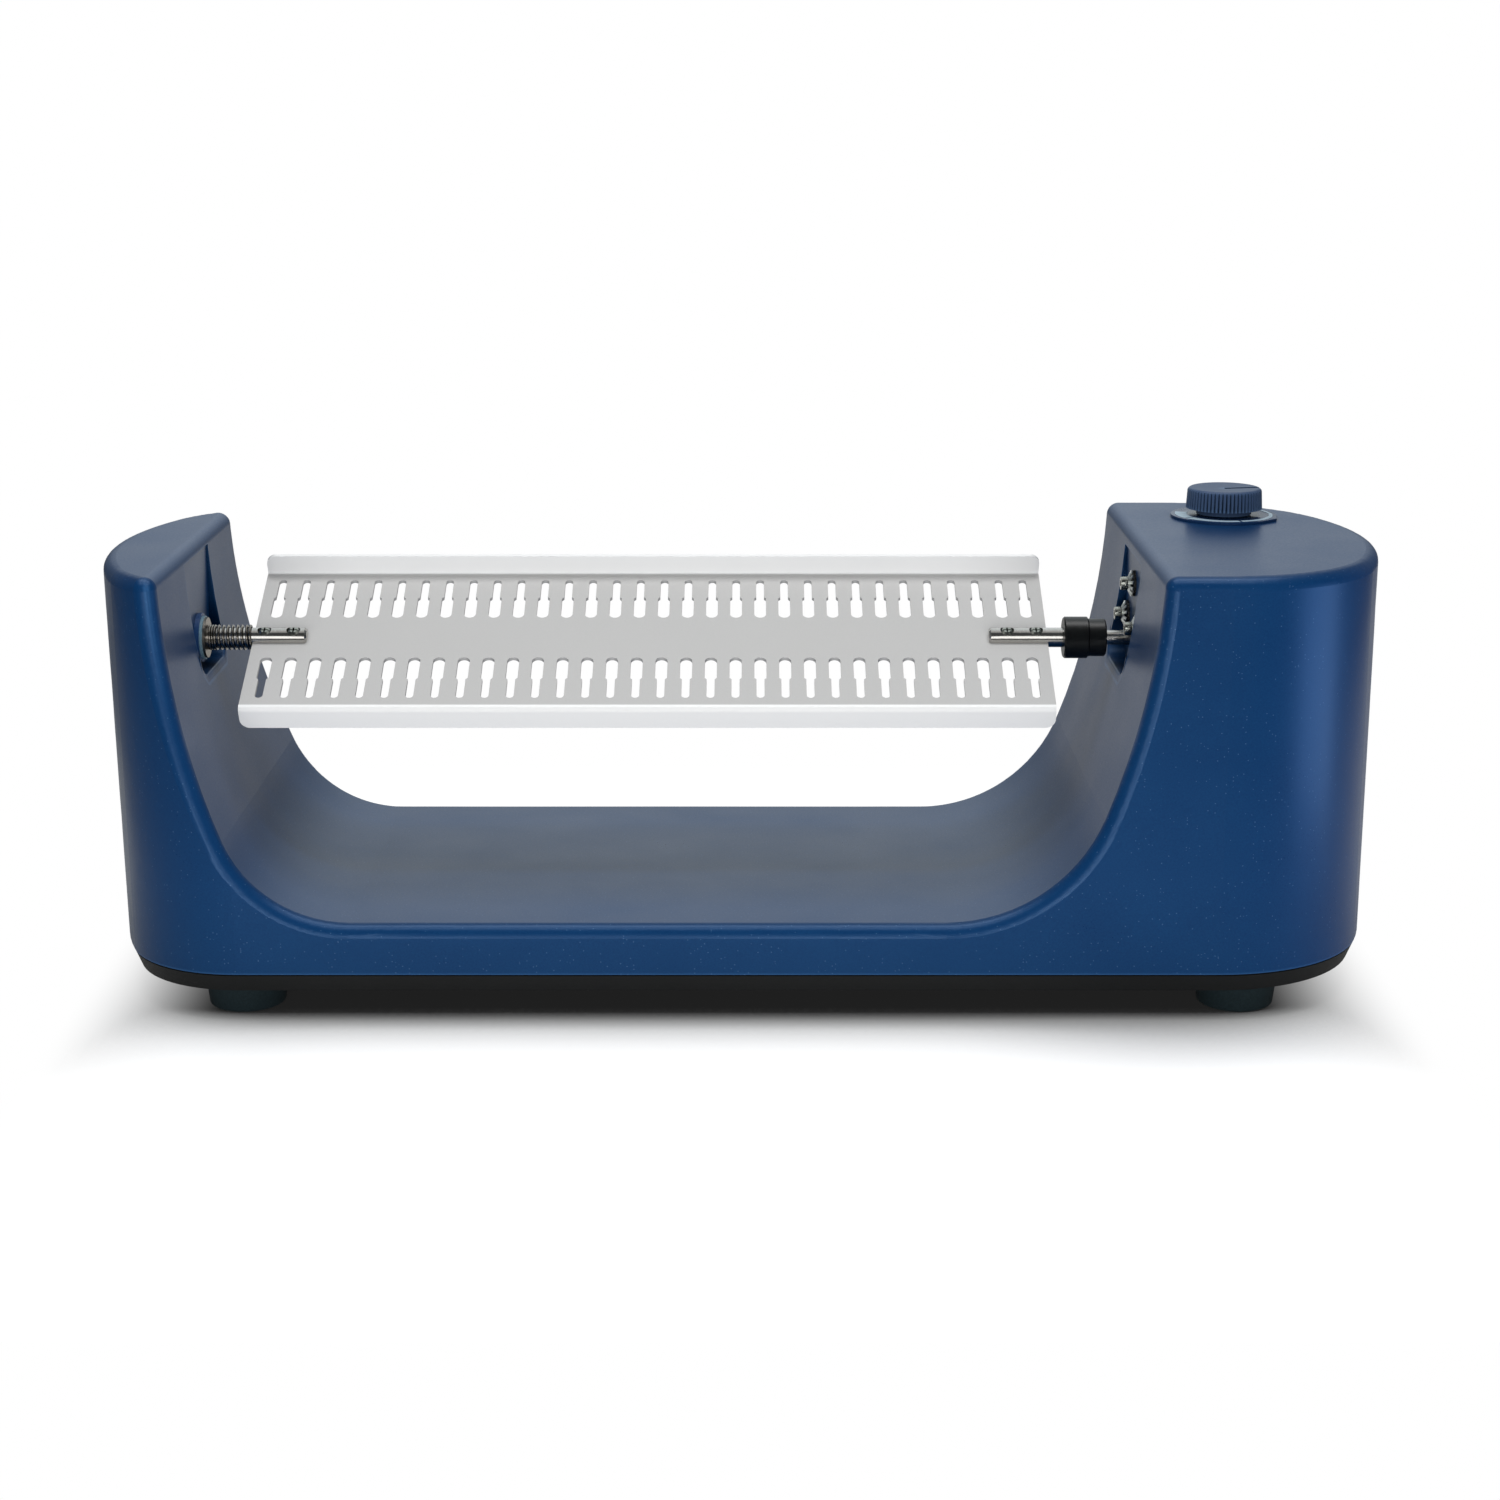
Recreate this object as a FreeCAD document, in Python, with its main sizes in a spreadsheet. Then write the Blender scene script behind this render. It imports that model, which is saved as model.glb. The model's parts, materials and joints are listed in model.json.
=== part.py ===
import FreeCAD, Part
import math
import os
import re
import Sketcher

# Tube rotator for the bench. Millimetres, +Z up, +X towards the drive tower, +Y to the rear.
# The origin is on the bench, under the middle of the casing.

V = FreeCAD.Vector
X_AXIS = V(1, 0, 0)
Y_AXIS = V(0, 1, 0)
Z_AXIS = V(0, 0, 1)

doc = FreeCAD.newDocument("tube_rotator")
sheet = doc.addObject("Spreadsheet::Sheet", "Sizes")

SIZES = {
    # Casing
    "casing_length": 510.0,
    "casing_depth": 181.8,
    "casing_lift": 7.4,
    "casing_height": 156.7,
    "tail_tower_drop": 2.5,
    "depth_draft": 2.7,
    "tail_draft": 2.0,
    "drive_corner": 65.4,
    "drive_end": 130.9,
    "tail_corner": 49.5,
    "tail_end": 151.7,
    "casing_wall": 3.0,
    "edge_round": 5.0,
    "overshoot": 10.0,
    # Saddle between the towers
    "saddle_lift": 19.8,
    "drive_rise": 175.5,
    "drive_lower_arc": 64.5,
    "drive_upper_arc": 300.0,
    "drive_blend_lift": 41.4,
    "tail_rise": 103.0,
    "tail_lower_arc": 51.5,
    "tail_upper_arc": 300.0,
    "tail_blend_lift": 32.1,
    # Shaft line and the flat seats for it
    "shaft_drop": 41.7,
    "drive_tower": 95.0,
    "tail_tower": 33.0,
    "seat_width": 49.0,
    "seat_below": 14.6,
    "seat_drop": 7.3,
    "seat_chamfer": 5.0,
    "seat_backing": 2.5,
    # Base tray
    "foot_stand_off": 1.2,
    "tray_inset": 3.0,
    "tray_side": 0.3,
    "shadow_depth": 1.0,
    "shadow_height": 0.6,
    "tray_floor": 3.0,
    "lip_thickness": 2.2,
    "lip_height": 5.0,
    "part_gap": 0.3,
    # Screw posts and base screws
    "post_radius": 4.5,
    "post_hole": 1.5,
    "post_foot_gap": 20.0,
    "post_middle_reach": 30.0,
    "post_seat_gap": 48.0,
    "post_side_inset": 28.9,
    "post_hole_depth": 10.0,
    "base_screw_radius": 1.5,
    "base_screw_head": 3.0,
    "base_screw_head_height": 2.0,
    "base_screw_length": 11.0,
    "base_screw_recess": 2.0,
    "base_screw_boss": 2.0,
    "screw_clearance": 0.2,
    "thread_clearance": 0.05,
    "screw_crown": 0.55,
    "screw_shoulder": 0.4,
    "cross_reach": 0.55,
    "cross_width": 0.12,
    # Feet
    "foot_inset": 59.0,
    "foot_side_inset": 25.9,
    "foot_radius": 16.0,
    "foot_tread_radius": 15.0,
    "foot_height": 10.0,
    "foot_round": 1.5,
    "foot_neck_radius": 11.0,
    "foot_screw_radius": 2.0,
    "foot_screw_head": 4.0,
    "foot_screw_head_height": 2.5,
    "foot_screw_seat": 3.5,
    "foot_recess_radius": 6.0,
    "foot_boss_radius": 5.5,
    "foot_boss_height": 8.0,
    "foot_screw_length": 15.0,
    # Tube plate
    "plate_tail_gap": 22.5,
    "plate_drive_gap": 35.0,
    "plate_width": 91.5,
    "plate_thickness": 1.5,
    "flange_height": 10.0,
    "bend_radius": 2.0,
    "flange_corner": 4.0,
    "plate_tilt": 26.0,
    "keyhole_pitch": 10.0,
    "keyhole_first": 4.75,
    "keyhole_inner": 13.2,
    "keyhole_outer": 39.0,
    "keyhole_step": 26.4,
    "keyhole_wide": 4.85,
    "keyhole_narrow": 3.2,
    # Shafts through the plate
    "shaft_radius": 4.0,
    "shaft_chamfer": 0.8,
    "tail_overlap": 22.0,
    "tail_shaft_pass": 18.0,
    "drive_overlap": 24.0,
    "drive_shaft_entry": 6.2,
    "plate_screw_inset": 4.8,
    "plate_screw_spacing": 11.8,
    "plate_screw_radius": 1.5,
    "plate_screw_head": 2.7,
    "plate_screw_cone": 1.2,
    "plate_nut_flats": 5.5,
    "plate_nut_height": 2.4,
    "plate_screw_tail": 0.8,
    # Spring, washer and bush at the tail
    "spring_washer_radius": 8.2,
    "spring_washer_thickness": 1.0,
    "spring_outer": 5.3,
    "spring_wire": 1.1,
    "spring_closed_gap": 0.02,
    "spring_closed_turns": 1,
    "spring_active_turns": 7,
    "spring_seating": 0.1,
    "bush_flange_radius": 10.0,
    "bush_flange": 3.0,
    "bush_barrel_radius": 7.0,
    "bush_barrel_tail": 9.0,
    "bush_ring_radius": 8.9,
    "bush_ring": 1.1,
    "bush_nut_flats": 19.0,
    "bush_nut": 4.0,
    "running_fit": 0.06,
    "fixed_fit": 0.1,
    "close_fit": 0.025,
    # Drive coupling
    "coupling_gap": 28.6,
    "coupling_drum": 10.2,
    "coupling_length": 17.2,
    "coupling_radius": 8.5,
    "coupling_neck_radius": 7.7,
    "coupling_chamfer": 0.6,
    "socket_depth": 7.2,
    "drive_pin_radius": 1.0,
    "drive_pin_inset": 4.2,
    "drive_pin_seat": 2.0,
    "drive_slot_clearance": 0.15,
    "set_screw_inset": 3.4,
    "set_screw_radius": 1.5,
    # Gear motor
    "motor_shaft_radius": 3.0,
    "motor_shaft_entry": 8.1,
    "motor_shaft_flat": 2.5,
    "motor_shaft_round": 6.6,
    "motor_shaft_bury": 8.0,
    "gearbox_offset": 7.0,
    "gearbox_radius": 18.5,
    "gearbox_length": 24.0,
    "gearbox_boss_radius": 6.0,
    "gearbox_boss_recess": 0.5,
    "motor_radius": 17.8,
    "motor_length": 33.0,
    "motor_boss_radius": 5.0,
    "motor_boss_length": 3.0,
    "motor_edge": 1.25,
    "motor_screw_circle": 15.5,
    "motor_screw_radius": 1.5,
    "motor_screw_head": 2.7,
    "motor_screw_head_height": 3.0,
    "motor_screw_socket": 2.5,
    "motor_screw_socket_depth": 1.5,
    "motor_screw_length": 12.0,
    "flat_washer_radius": 5.3,
    "flat_washer": 1.0,
    "lock_washer_radius": 4.4,
    "lock_washer": 0.9,
    "washer_clearance": 0.1,
    # Speed knob
    "knob_inset": 51.5,
    "knob_side_inset": 42.3,
    "dial_radius": 22.15,
    "dial_thickness": 1.2,
    "dial_tab": 2.2,
    "knob_gap": 0.5,
    "knob_neck_radius": 11.5,
    "knob_skirt": 4.0,
    "knob_bottom_radius": 15.9,
    "knob_top_radius": 15.5,
    "knob_height": 12.6,
    "knob_edge": 1.6,
    "knob_dish": 0.5,
    "knob_rib_count": 60,
    "knob_rib_depth": 0.55,
    "knob_rib_mouth": 1.4,
    "knob_slot_width": 2.6,
    "knob_slot_depth": 1.0,
    "knob_hollow_radius": 9.0,
    "knob_hollow": 6.5,
    "pot_shaft_radius": 3.0,
    "pot_shaft_top": 10.8,
    "pot_bushing_radius": 3.5,
    "pot_bushing": 6.0,
    "pot_nut_flats": 11.0,
    "pot_nut": 2.2,
    "pot_body_radius": 8.3,
    "pot_body": 10.0,
    # Switch and inlet
    "switch_lift": 56.4,
    "switch_seat": 1.4,
    "switch_bezel_height": 21.0,
    "switch_bezel_width": 15.0,
    "switch_bezel": 1.2,
    "switch_body_height": 18.6,
    "switch_body_width": 12.6,
    "switch_body": 15.0,
    "rocker_height": 15.4,
    "rocker_width": 9.4,
    "rocker_thickness": 4.6,
    "rocker_dip": 0.5,
    "rocker_lip": 1.4,
    "rocker_flank": 1.6,
    "rocker_keel": 3.7,
    "rocker_angle": 9.0,
    "rocker_clearance": 0.4,
    "inlet_inset": 97.0,
    "inlet_lift": 27.4,
    "inlet_sink": 2.9,
    "inlet_backing": 3.6,
    "inlet_flange_width": 50.0,
    "inlet_flange_height": 23.0,
    "inlet_flange": 2.5,
    "inlet_body_width": 27.0,
    "inlet_body_height": 19.6,
    "inlet_body": 18.0,
    "inlet_mouth_width": 24.0,
    "inlet_mouth_height": 16.4,
    "inlet_mouth": 15.0,
    "inlet_corner": 4.5,
    "inlet_screw_spacing": 40.0,
    "inlet_screw_radius": 1.5,
    "inlet_screw_head": 2.8,
    "inlet_screw_head_height": 1.6,
    "inlet_screw_length": 9.0,
    "inlet_pin_spacing": 7.0,
    "inlet_pin_drop": 2.0,
    "inlet_pin_width": 2.0,
    "inlet_pin_height": 4.0,
    "inlet_pin_back": 5.0,
    # Control board and what stands on it
    "board_inset": 50.0,
    "board_length": 62.0,
    "board_width": 56.0,
    "board_thickness": 1.6,
    "board_forward": 12.0,
    "board_corner_inset": 4.0,
    "standoff_radius": 3.0,
    "standoff_height": 8.0,
    "board_screw_radius": 1.25,
    "board_screw_head": 2.4,
    "board_screw_head_height": 1.6,
    "board_screw_grip": 6.0,
    "heat_sink_length": 12.0,
    "heat_sink_width": 20.0,
    "heat_sink_height": 16.0,
    "heat_sink_along": -26.0,
    "heat_sink_across": -8.0,
    "terminal_block_length": 8.0,
    "terminal_block_width": 24.0,
    "terminal_block_height": 9.0,
    "terminal_block_along": 20.0,
    "terminal_block_across": -12.0,
    "relay_length": 15.0,
    "relay_width": 19.0,
    "relay_height": 14.0,
    "relay_along": -6.0,
    "relay_across": -18.0,
    "large_capacitor_radius": 5.0,
    "large_capacitor_height": 14.0,
    "large_capacitor_along": -2.0,
    "large_capacitor_across": 12.0,
    "small_capacitor_radius": 4.0,
    "small_capacitor_height": 11.0,
    "small_capacitor_along": 10.0,
    "small_capacitor_across": 14.0,
}

# What follows from the sizes: +X, +Y and +Z places, and lengths between them.
PLACES = {
    "tray_bottom": "foot_height + foot_stand_off",
    "casing_bottom": "tray_bottom + casing_lift",
    "casing_top": "casing_bottom + casing_height",
    "saddle_floor": "casing_bottom + saddle_lift",
    "drive_blend": "saddle_floor + drive_blend_lift",
    "tail_blend": "saddle_floor + tail_blend_lift",
    "drive_floor_end": "casing_length / 2 - drive_rise",
    "tail_floor_end": "casing_length / 2 - tail_rise",
    "shaft_line": "casing_top - shaft_drop",
    "drive_seat": "casing_length / 2 - drive_tower",
    "tail_seat": "casing_length / 2 - tail_tower",
    "seat_bottom": "shaft_line - seat_below",
    "seat_top": "casing_top - seat_drop",
    "foot_reach": "casing_length / 2 - foot_inset",
    "foot_side_reach": "casing_depth / 2 - foot_side_inset",
    "post_tail_reach": "foot_reach - post_foot_gap",
    "post_drive_reach": "drive_seat - post_seat_gap",
    "post_side_reach": "casing_depth / 2 - post_side_inset",
    "plate_length": "tail_seat + drive_seat - plate_tail_gap - plate_drive_gap",
    "plate_centre": "(tail_seat - plate_tail_gap - drive_seat + plate_drive_gap) / 2",
    "keyhole_count": "floor((plate_length - 2 * keyhole_first - keyhole_wide) / keyhole_pitch) + 1",
    "tail_shaft_end": "tail_seat + tail_shaft_pass",
    "coupling_start": "drive_seat - coupling_gap",
    "coupling_step": "coupling_start + coupling_drum",
    "coupling_end": "coupling_start + coupling_length",
    "drive_shaft_end": "coupling_start + drive_shaft_entry",
    "drive_pin_place": "coupling_start + drive_pin_inset",
    "set_screw_place": "coupling_end - set_screw_inset",
    "motor_shaft_start": "coupling_end - motor_shaft_entry",
    "motor_shaft_flat_end": "drive_seat - motor_shaft_round",
    "knob_reach": "casing_length / 2 - knob_inset",
    "knob_side_reach": "casing_depth / 2 - knob_side_inset",
    "switch_line": "casing_bottom + switch_lift",
    "inlet_reach": "casing_length / 2 - inlet_inset",
    "inlet_line": "casing_bottom + inlet_lift",
    "inlet_seat": "casing_depth / 2 - inlet_sink",
    "board_reach": "casing_length / 2 - board_inset",
}

# Edges and faces closer than this are taken as one.
NEAR = 0.01


def fillSheet():
    for row, (alias, value) in enumerate(SIZES.items(), 1):
        sheet.set("A%d" % row, alias.replace("_", " "))
        sheet.set("B%d" % row, repr(value))
        sheet.setAlias("B%d" % row, alias)
    doc.recompute()


def linked(expression):
    def found(match):
        word = match.group()
        if word in PLACES:
            return "(%s)" % linked(PLACES[word])
        return "Sizes." + word if word in SIZES else word

    return re.sub(r"[a-z]\w*", found, expression)


def size(expression):
    found = sheet.evalExpression(linked(expression))
    return float(getattr(found, "Value", found))


def bind(thing, **expressions):
    # Underscore pairs in a keyword stand for the dots of a property path.
    for path, expression in expressions.items():
        thing.setExpression(path.replace("__", "."), linked(expression))


def place(thing, x="0", y="0", z="0", axis=None, angle=0.0):
    if axis is not None:
        thing.Placement = FreeCAD.Placement(V(0, 0, 0), FreeCAD.Rotation(axis, angle))
    for path, expression in (("x", x), ("y", y), ("z", z)):
        if expression != "0":
            thing.setExpression("Placement.Base." + path, linked(expression))
    return thing


def newBody(label, **where):
    body = doc.addObject("PartDesign::Body", label)
    body.Label = label
    return place(body, **where)


def sketchOn(body, name, plane, lift="0"):
    sketch = body.newObject("Sketcher::SketchObject", name)
    origin = [item for item in body.Origin.OriginFeatures if item.Role == plane + "_Plane"][0]
    sketch.AttachmentSupport = [(origin, "")]
    sketch.MapMode = "FlatFace"
    if lift != "0":
        bind(sketch, AttachmentOffset__Base__z=lift)
    return sketch


def pin(sketch, kind, where, expression):
    number = sketch.addConstraint(Sketcher.Constraint(kind, *where, size(expression)))
    sketch.renameConstraint(number, "c%d" % number)
    sketch.setExpression("Constraints.c%d" % number, linked(expression))


def pinPoint(sketch, geometry, point, x, y):
    for kind, expression, axis in (("DistanceX", x, -2), ("DistanceY", y, -1)):
        if expression == "0":
            sketch.addConstraint(Sketcher.Constraint("PointOnObject", geometry, point, axis))
        else:
            pin(sketch, kind, (-1, 1, geometry, point), expression)


def profile(sketch, corners, arcs=None):
    # A closed outline through the corners. arcs gives, for the side that starts at a corner,
    # the centre and the turn: 1 anticlockwise, -1 clockwise.
    arcs = arcs or {}
    points = [V(size(x), size(y), 0) for x, y in corners]
    count = len(points)
    first = sketch.GeometryCount
    ends = []
    for i in range(count):
        here, there = points[i], points[(i + 1) % count]
        if i in arcs:
            centreX, centreY, turn = arcs[i]
            centre = V(size(centreX), size(centreY), 0)
            begin, end = (here, there) if turn > 0 else (there, here)
            angles = [math.atan2(p.y - centre.y, p.x - centre.x) for p in (begin, end)]
            circle = Part.Circle(centre, Z_AXIS, (begin - centre).Length)
            sketch.addGeometry(Part.ArcOfCircle(circle, angles[0], angles[1]), False)
            ends.append((1, 2) if turn > 0 else (2, 1))
        else:
            sketch.addGeometry(Part.LineSegment(here, there), False)
            ends.append((1, 2))
    for i in range(count):
        after = (i + 1) % count
        sketch.addConstraint(Sketcher.Constraint(
            "Coincident", first + i, ends[i][1], first + after, ends[after][0]))
        pinPoint(sketch, first + i, ends[i][0], *corners[i])
    for i, (centreX, centreY, turn) in arcs.items():
        chord = points[(i + 1) % count] - points[i]
        if abs(chord.x) > abs(chord.y):
            kind, expression, axis = "DistanceY", centreY, -1
        else:
            kind, expression, axis = "DistanceX", centreX, -2
        if expression == "0":
            sketch.addConstraint(Sketcher.Constraint("PointOnObject", first + i, 3, axis))
        else:
            pin(sketch, kind, (-1, 1, first + i, 3), expression)
    return sketch


def rectangle(sketch, left, right, bottom, top):
    return profile(sketch, [(left, bottom), (right, bottom), (right, top), (left, top)])


def circle(sketch, x, y, radius):
    number = sketch.addGeometry(Part.Circle(V(size(x), size(y), 0), Z_AXIS, size(radius)), False)
    pinPoint(sketch, number, 3, x, y)
    pin(sketch, "Radius", (number,), radius)
    return sketch


def hexagon(sketch, flats):
    # Across-flats width given; two flats face the sketch's own Y direction.
    half = "(%s) / 2" % flats
    corner = "(%s) / sqrt(3)" % flats
    return profile(sketch, [
        (corner, "0"), (corner + " / 2", half), ("-" + corner + " / 2", half),
        ("-" + corner, "0"), ("-" + corner + " / 2", "-" + half), (corner + " / 2", "-" + half)])


def feature(body, kind, name, sketch, length=None, **options):
    made = body.newObject("PartDesign::" + kind, name)
    made.Profile = sketch
    for option, choice in options.items():
        setattr(made, option, choice)
    if length is not None:
        made.setExpression("Length", linked(length))
    sketch.Visibility = False
    return made


def spin(body, kind, name, sketch, axis):
    made = body.newObject("PartDesign::" + kind, name)
    made.Profile = sketch
    made.ReferenceAxis = (originAxis(body, axis), [""])
    made.Angle = 360.0
    return made


def originAxis(body, axis):
    return [item for item in body.Origin.OriginFeatures if item.Role == axis + "_Axis"][0]


def polar(body, name, originals, axis, count):
    made = body.newObject("PartDesign::PolarPattern", name)
    made.Originals = originals
    made.Axis = (originAxis(body, axis), [""])
    made.Angle = 360.0
    made.setExpression("Occurrences", linked(count))
    body.Tip = made
    return made


def middle(edge):
    return edge.valueAt((edge.FirstParameter + edge.LastParameter) / 2)


def roundEdges(body, name, test, radius):
    base = body.Tip
    edges = ["Edge%d" % (i + 1) for i, edge in enumerate(base.Shape.Edges) if test(edge)]
    made = body.newObject("PartDesign::Fillet", name)
    made.Base = (base, edges)
    bind(made, Radius=radius)
    return made


def rod(name, radius, length, x="0", y="0", z="0", axis=None, angle=0.0):
    made = doc.addObject("Part::Cylinder", name)
    bind(made, Radius=radius, Height=length)
    return place(made, x, y, z, axis, angle)


def block(name, length, width, height, x="0", y="0", z="0"):
    made = doc.addObject("Part::Box", name)
    bind(made, Length=length, Width=width, Height=height)
    return place(made, x, y, z)


def cut(name, base, tools):
    made = doc.addObject("Part::Cut", name)
    made.Base = base
    made.Tool = tools[0] if len(tools) == 1 else fuse(name + "_tools", tools)
    made.Refine = False
    return made


def fuse(name, parts):
    made = doc.addObject("Part::MultiFuse", name)
    made.Shapes = parts
    made.Refine = True
    return made


def copies(label, original, places, axis=None, angle=0.0):
    # One node for identical pieces, each a separate solid.
    links = []
    for i, (x, y, z) in enumerate(places):
        link = doc.addObject("App::Link", "%s_%d" % (label, i + 1))
        link.LinkedObject = original
        links.append(place(link, x, y, z, axis, angle))
    group = doc.addObject("Part::Compound", label)
    group.Label = label
    group.Links = links
    return group


# Casing outline: straight front and rear, tangent corner arcs and a large arc at each end.
def casingOutline(body, name, lift, inset, depthDraft="0", tailDraft="0"):
    sketch = sketchOn(body, name, "XY", lift)
    half = "(casing_depth / 2 - %s - %s)" % (inset, depthDraft)
    driveReach = "(casing_length / 2 - %s)" % inset
    tailReach = "(casing_length / 2 - %s - %s)" % (inset, tailDraft)
    driveCorner, driveEnd = "(drive_corner - %s)" % inset, "(drive_end - %s)" % inset
    tailCorner, tailEnd = "(tail_corner - %s)" % inset, "(tail_end - %s)" % inset

    def layout(reach, corner, end):
        rise = size(half) - size(corner)
        run = math.sqrt((size(end) - size(corner)) ** 2 - rise ** 2)
        centre = size(reach) - size(end)
        return centre, centre + run, rise, math.atan2(rise, run)

    def arc(x, y, radius, start, stop):
        return Part.ArcOfCircle(Part.Circle(V(x, y, 0), Z_AXIS, radius), start, stop)

    endX, cornerX, cornerY, lean = layout(driveReach, driveCorner, driveEnd)
    tailEndX, tailX, tailY, tailLean = layout(tailReach, tailCorner, tailEnd)
    quarter, b = math.pi / 2, size(half)
    sketch.addGeometry([
        Part.LineSegment(V(-tailX, -b, 0), V(cornerX, -b, 0)),
        arc(cornerX, -cornerY, size(driveCorner), -quarter, -lean),
        arc(endX, 0, size(driveEnd), -lean, lean),
        arc(cornerX, cornerY, size(driveCorner), lean, quarter),
        Part.LineSegment(V(cornerX, b, 0), V(-tailX, b, 0)),
        arc(-tailX, tailY, size(tailCorner), quarter, 2 * quarter - tailLean),
        arc(-tailEndX, 0, size(tailEnd), 2 * quarter - tailLean, 2 * quarter + tailLean),
        arc(-tailX, -tailY, size(tailCorner), 2 * quarter + tailLean, 3 * quarter),
    ], False)
    sides = front, driveFront, driveCap, driveRear, rear, tailRear, tailCap, tailFront = range(8)
    for side in sides:
        sketch.addConstraint(Sketcher.Constraint("Tangent", side, 2, sides[side - 7], 1))
    for side, y in ((front, "-" + half), (rear, half)):
        sketch.addConstraint(Sketcher.Constraint("Horizontal", side))
        pin(sketch, "DistanceY", (-1, 1, side, 1), y)
    for end, reach, radius, sign in (
            (driveCap, driveReach, driveEnd, ""), (tailCap, tailReach, tailEnd, "-")):
        sketch.addConstraint(Sketcher.Constraint("PointOnObject", end, 3, -1))
        pin(sketch, "DistanceX", (-1, 1, end, 3), "%s(%s - %s)" % (sign, reach, radius))
        pin(sketch, "Radius", (end,), radius)
    for corners, radius in (((driveFront, driveRear), driveCorner), ((tailRear, tailFront), tailCorner)):
        for corner in corners:
            pin(sketch, "Radius", (corner,), radius)
    return sketch


# Saddle: flat floor, then two tangent arcs up each tower wall. inset is the wall inside it.
def saddleProfile(body, name, inset, top):
    sketch = sketchOn(body, name, "XZ")

    def side(end, lower, upper, blend):
        centreZ = "(saddle_floor + %s)" % lower
        join = "(%s - (%s - %s) * (%s + %s) / %s)" % (centreZ, centreZ, blend, lower, inset, lower)
        lowerRadius = size(lower) + size(inset)
        angle = math.asin((size(centreZ) - size(join)) / lowerRadius)
        upperRadius = size(upper) + size(inset)
        shift = upperRadius - lowerRadius
        upperX = size(end) - shift * math.cos(angle)
        upperZ = size(centreZ) + shift * math.sin(angle)
        topAngle = math.asin((upperZ - size(top)) / upperRadius)
        return join, angle, upperX, upperZ, upperRadius, topAngle, size(centreZ), lowerRadius

    drive = side("drive_floor_end", "drive_lower_arc", "drive_upper_arc", "drive_blend")
    tail = side("tail_floor_end", "tail_lower_arc", "tail_upper_arc", "tail_blend")
    floor, half = size("saddle_floor") - size(inset), math.pi

    def arc(x, z, radius, start, stop):
        return Part.ArcOfCircle(Part.Circle(V(x, z, 0), Z_AXIS, radius), start, stop)

    driveTop = V(drive[2] + drive[4] * math.cos(drive[5]), size(top), 0)
    tailTop = V(-tail[2] - tail[4] * math.cos(tail[5]), size(top), 0)
    sketch.addGeometry([
        Part.LineSegment(V(-size("tail_floor_end"), floor, 0), V(size("drive_floor_end"), floor, 0)),
        arc(size("drive_floor_end"), drive[6], drive[7], -half / 2, -drive[1]),
        arc(drive[2], drive[3], drive[4], -drive[1], -drive[5]),
        Part.LineSegment(driveTop, tailTop),
        arc(-tail[2], tail[3], tail[4], half + tail[5], half + tail[1]),
        arc(-size("tail_floor_end"), tail[6], tail[7], half + tail[1], 1.5 * half),
    ], False)
    for before, after in ((0, 1), (1, 2), (4, 5), (5, 0)):
        sketch.addConstraint(Sketcher.Constraint("Tangent", before, 2, after, 1))
    for before, after in ((2, 3), (3, 4)):
        sketch.addConstraint(Sketcher.Constraint("Coincident", before, 2, after, 1))
    for line in (0, 3):
        sketch.addConstraint(Sketcher.Constraint("Horizontal", line))
    pin(sketch, "DistanceY", (-1, 1, 0, 1), "saddle_floor - %s" % inset)
    pin(sketch, "DistanceY", (-1, 1, 3, 1), top)
    pin(sketch, "DistanceX", (-1, 1, 0, 1), "-tail_floor_end")
    pin(sketch, "DistanceX", (-1, 1, 0, 2), "drive_floor_end")
    for arcs, names in (((1, 2), "drive"), ((5, 4), "tail")):
        pin(sketch, "Radius", (arcs[0],), "%s_lower_arc + %s" % (names, inset))
        pin(sketch, "Radius", (arcs[1],), "%s_upper_arc + %s" % (names, inset))
    pin(sketch, "DistanceY", (-1, 1, 1, 2), drive[0])
    pin(sketch, "DistanceY", (-1, 1, 5, 1), tail[0])
    return sketch


def towers(name, inset, bottom, top):
    # The drafted block of the casing with the saddle taken out; inset gives the hollow inside it.
    body = newBody(name)
    low = casingOutline(body, name + "_low", bottom, inset, "depth_draft", "tail_draft")
    high = casingOutline(body, name + "_high", top, inset)
    loft = body.newObject("PartDesign::AdditiveLoft", name + "_loft")
    loft.Profile = low
    loft.Sections = [high]
    loft.Ruled = True
    feature(body, "Pocket", name + "_saddle",
            saddleProfile(body, name + "_profile", inset, "casing_top + overshoot"),
            Type="ThroughAll", SideType="Symmetric")
    return body


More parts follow.
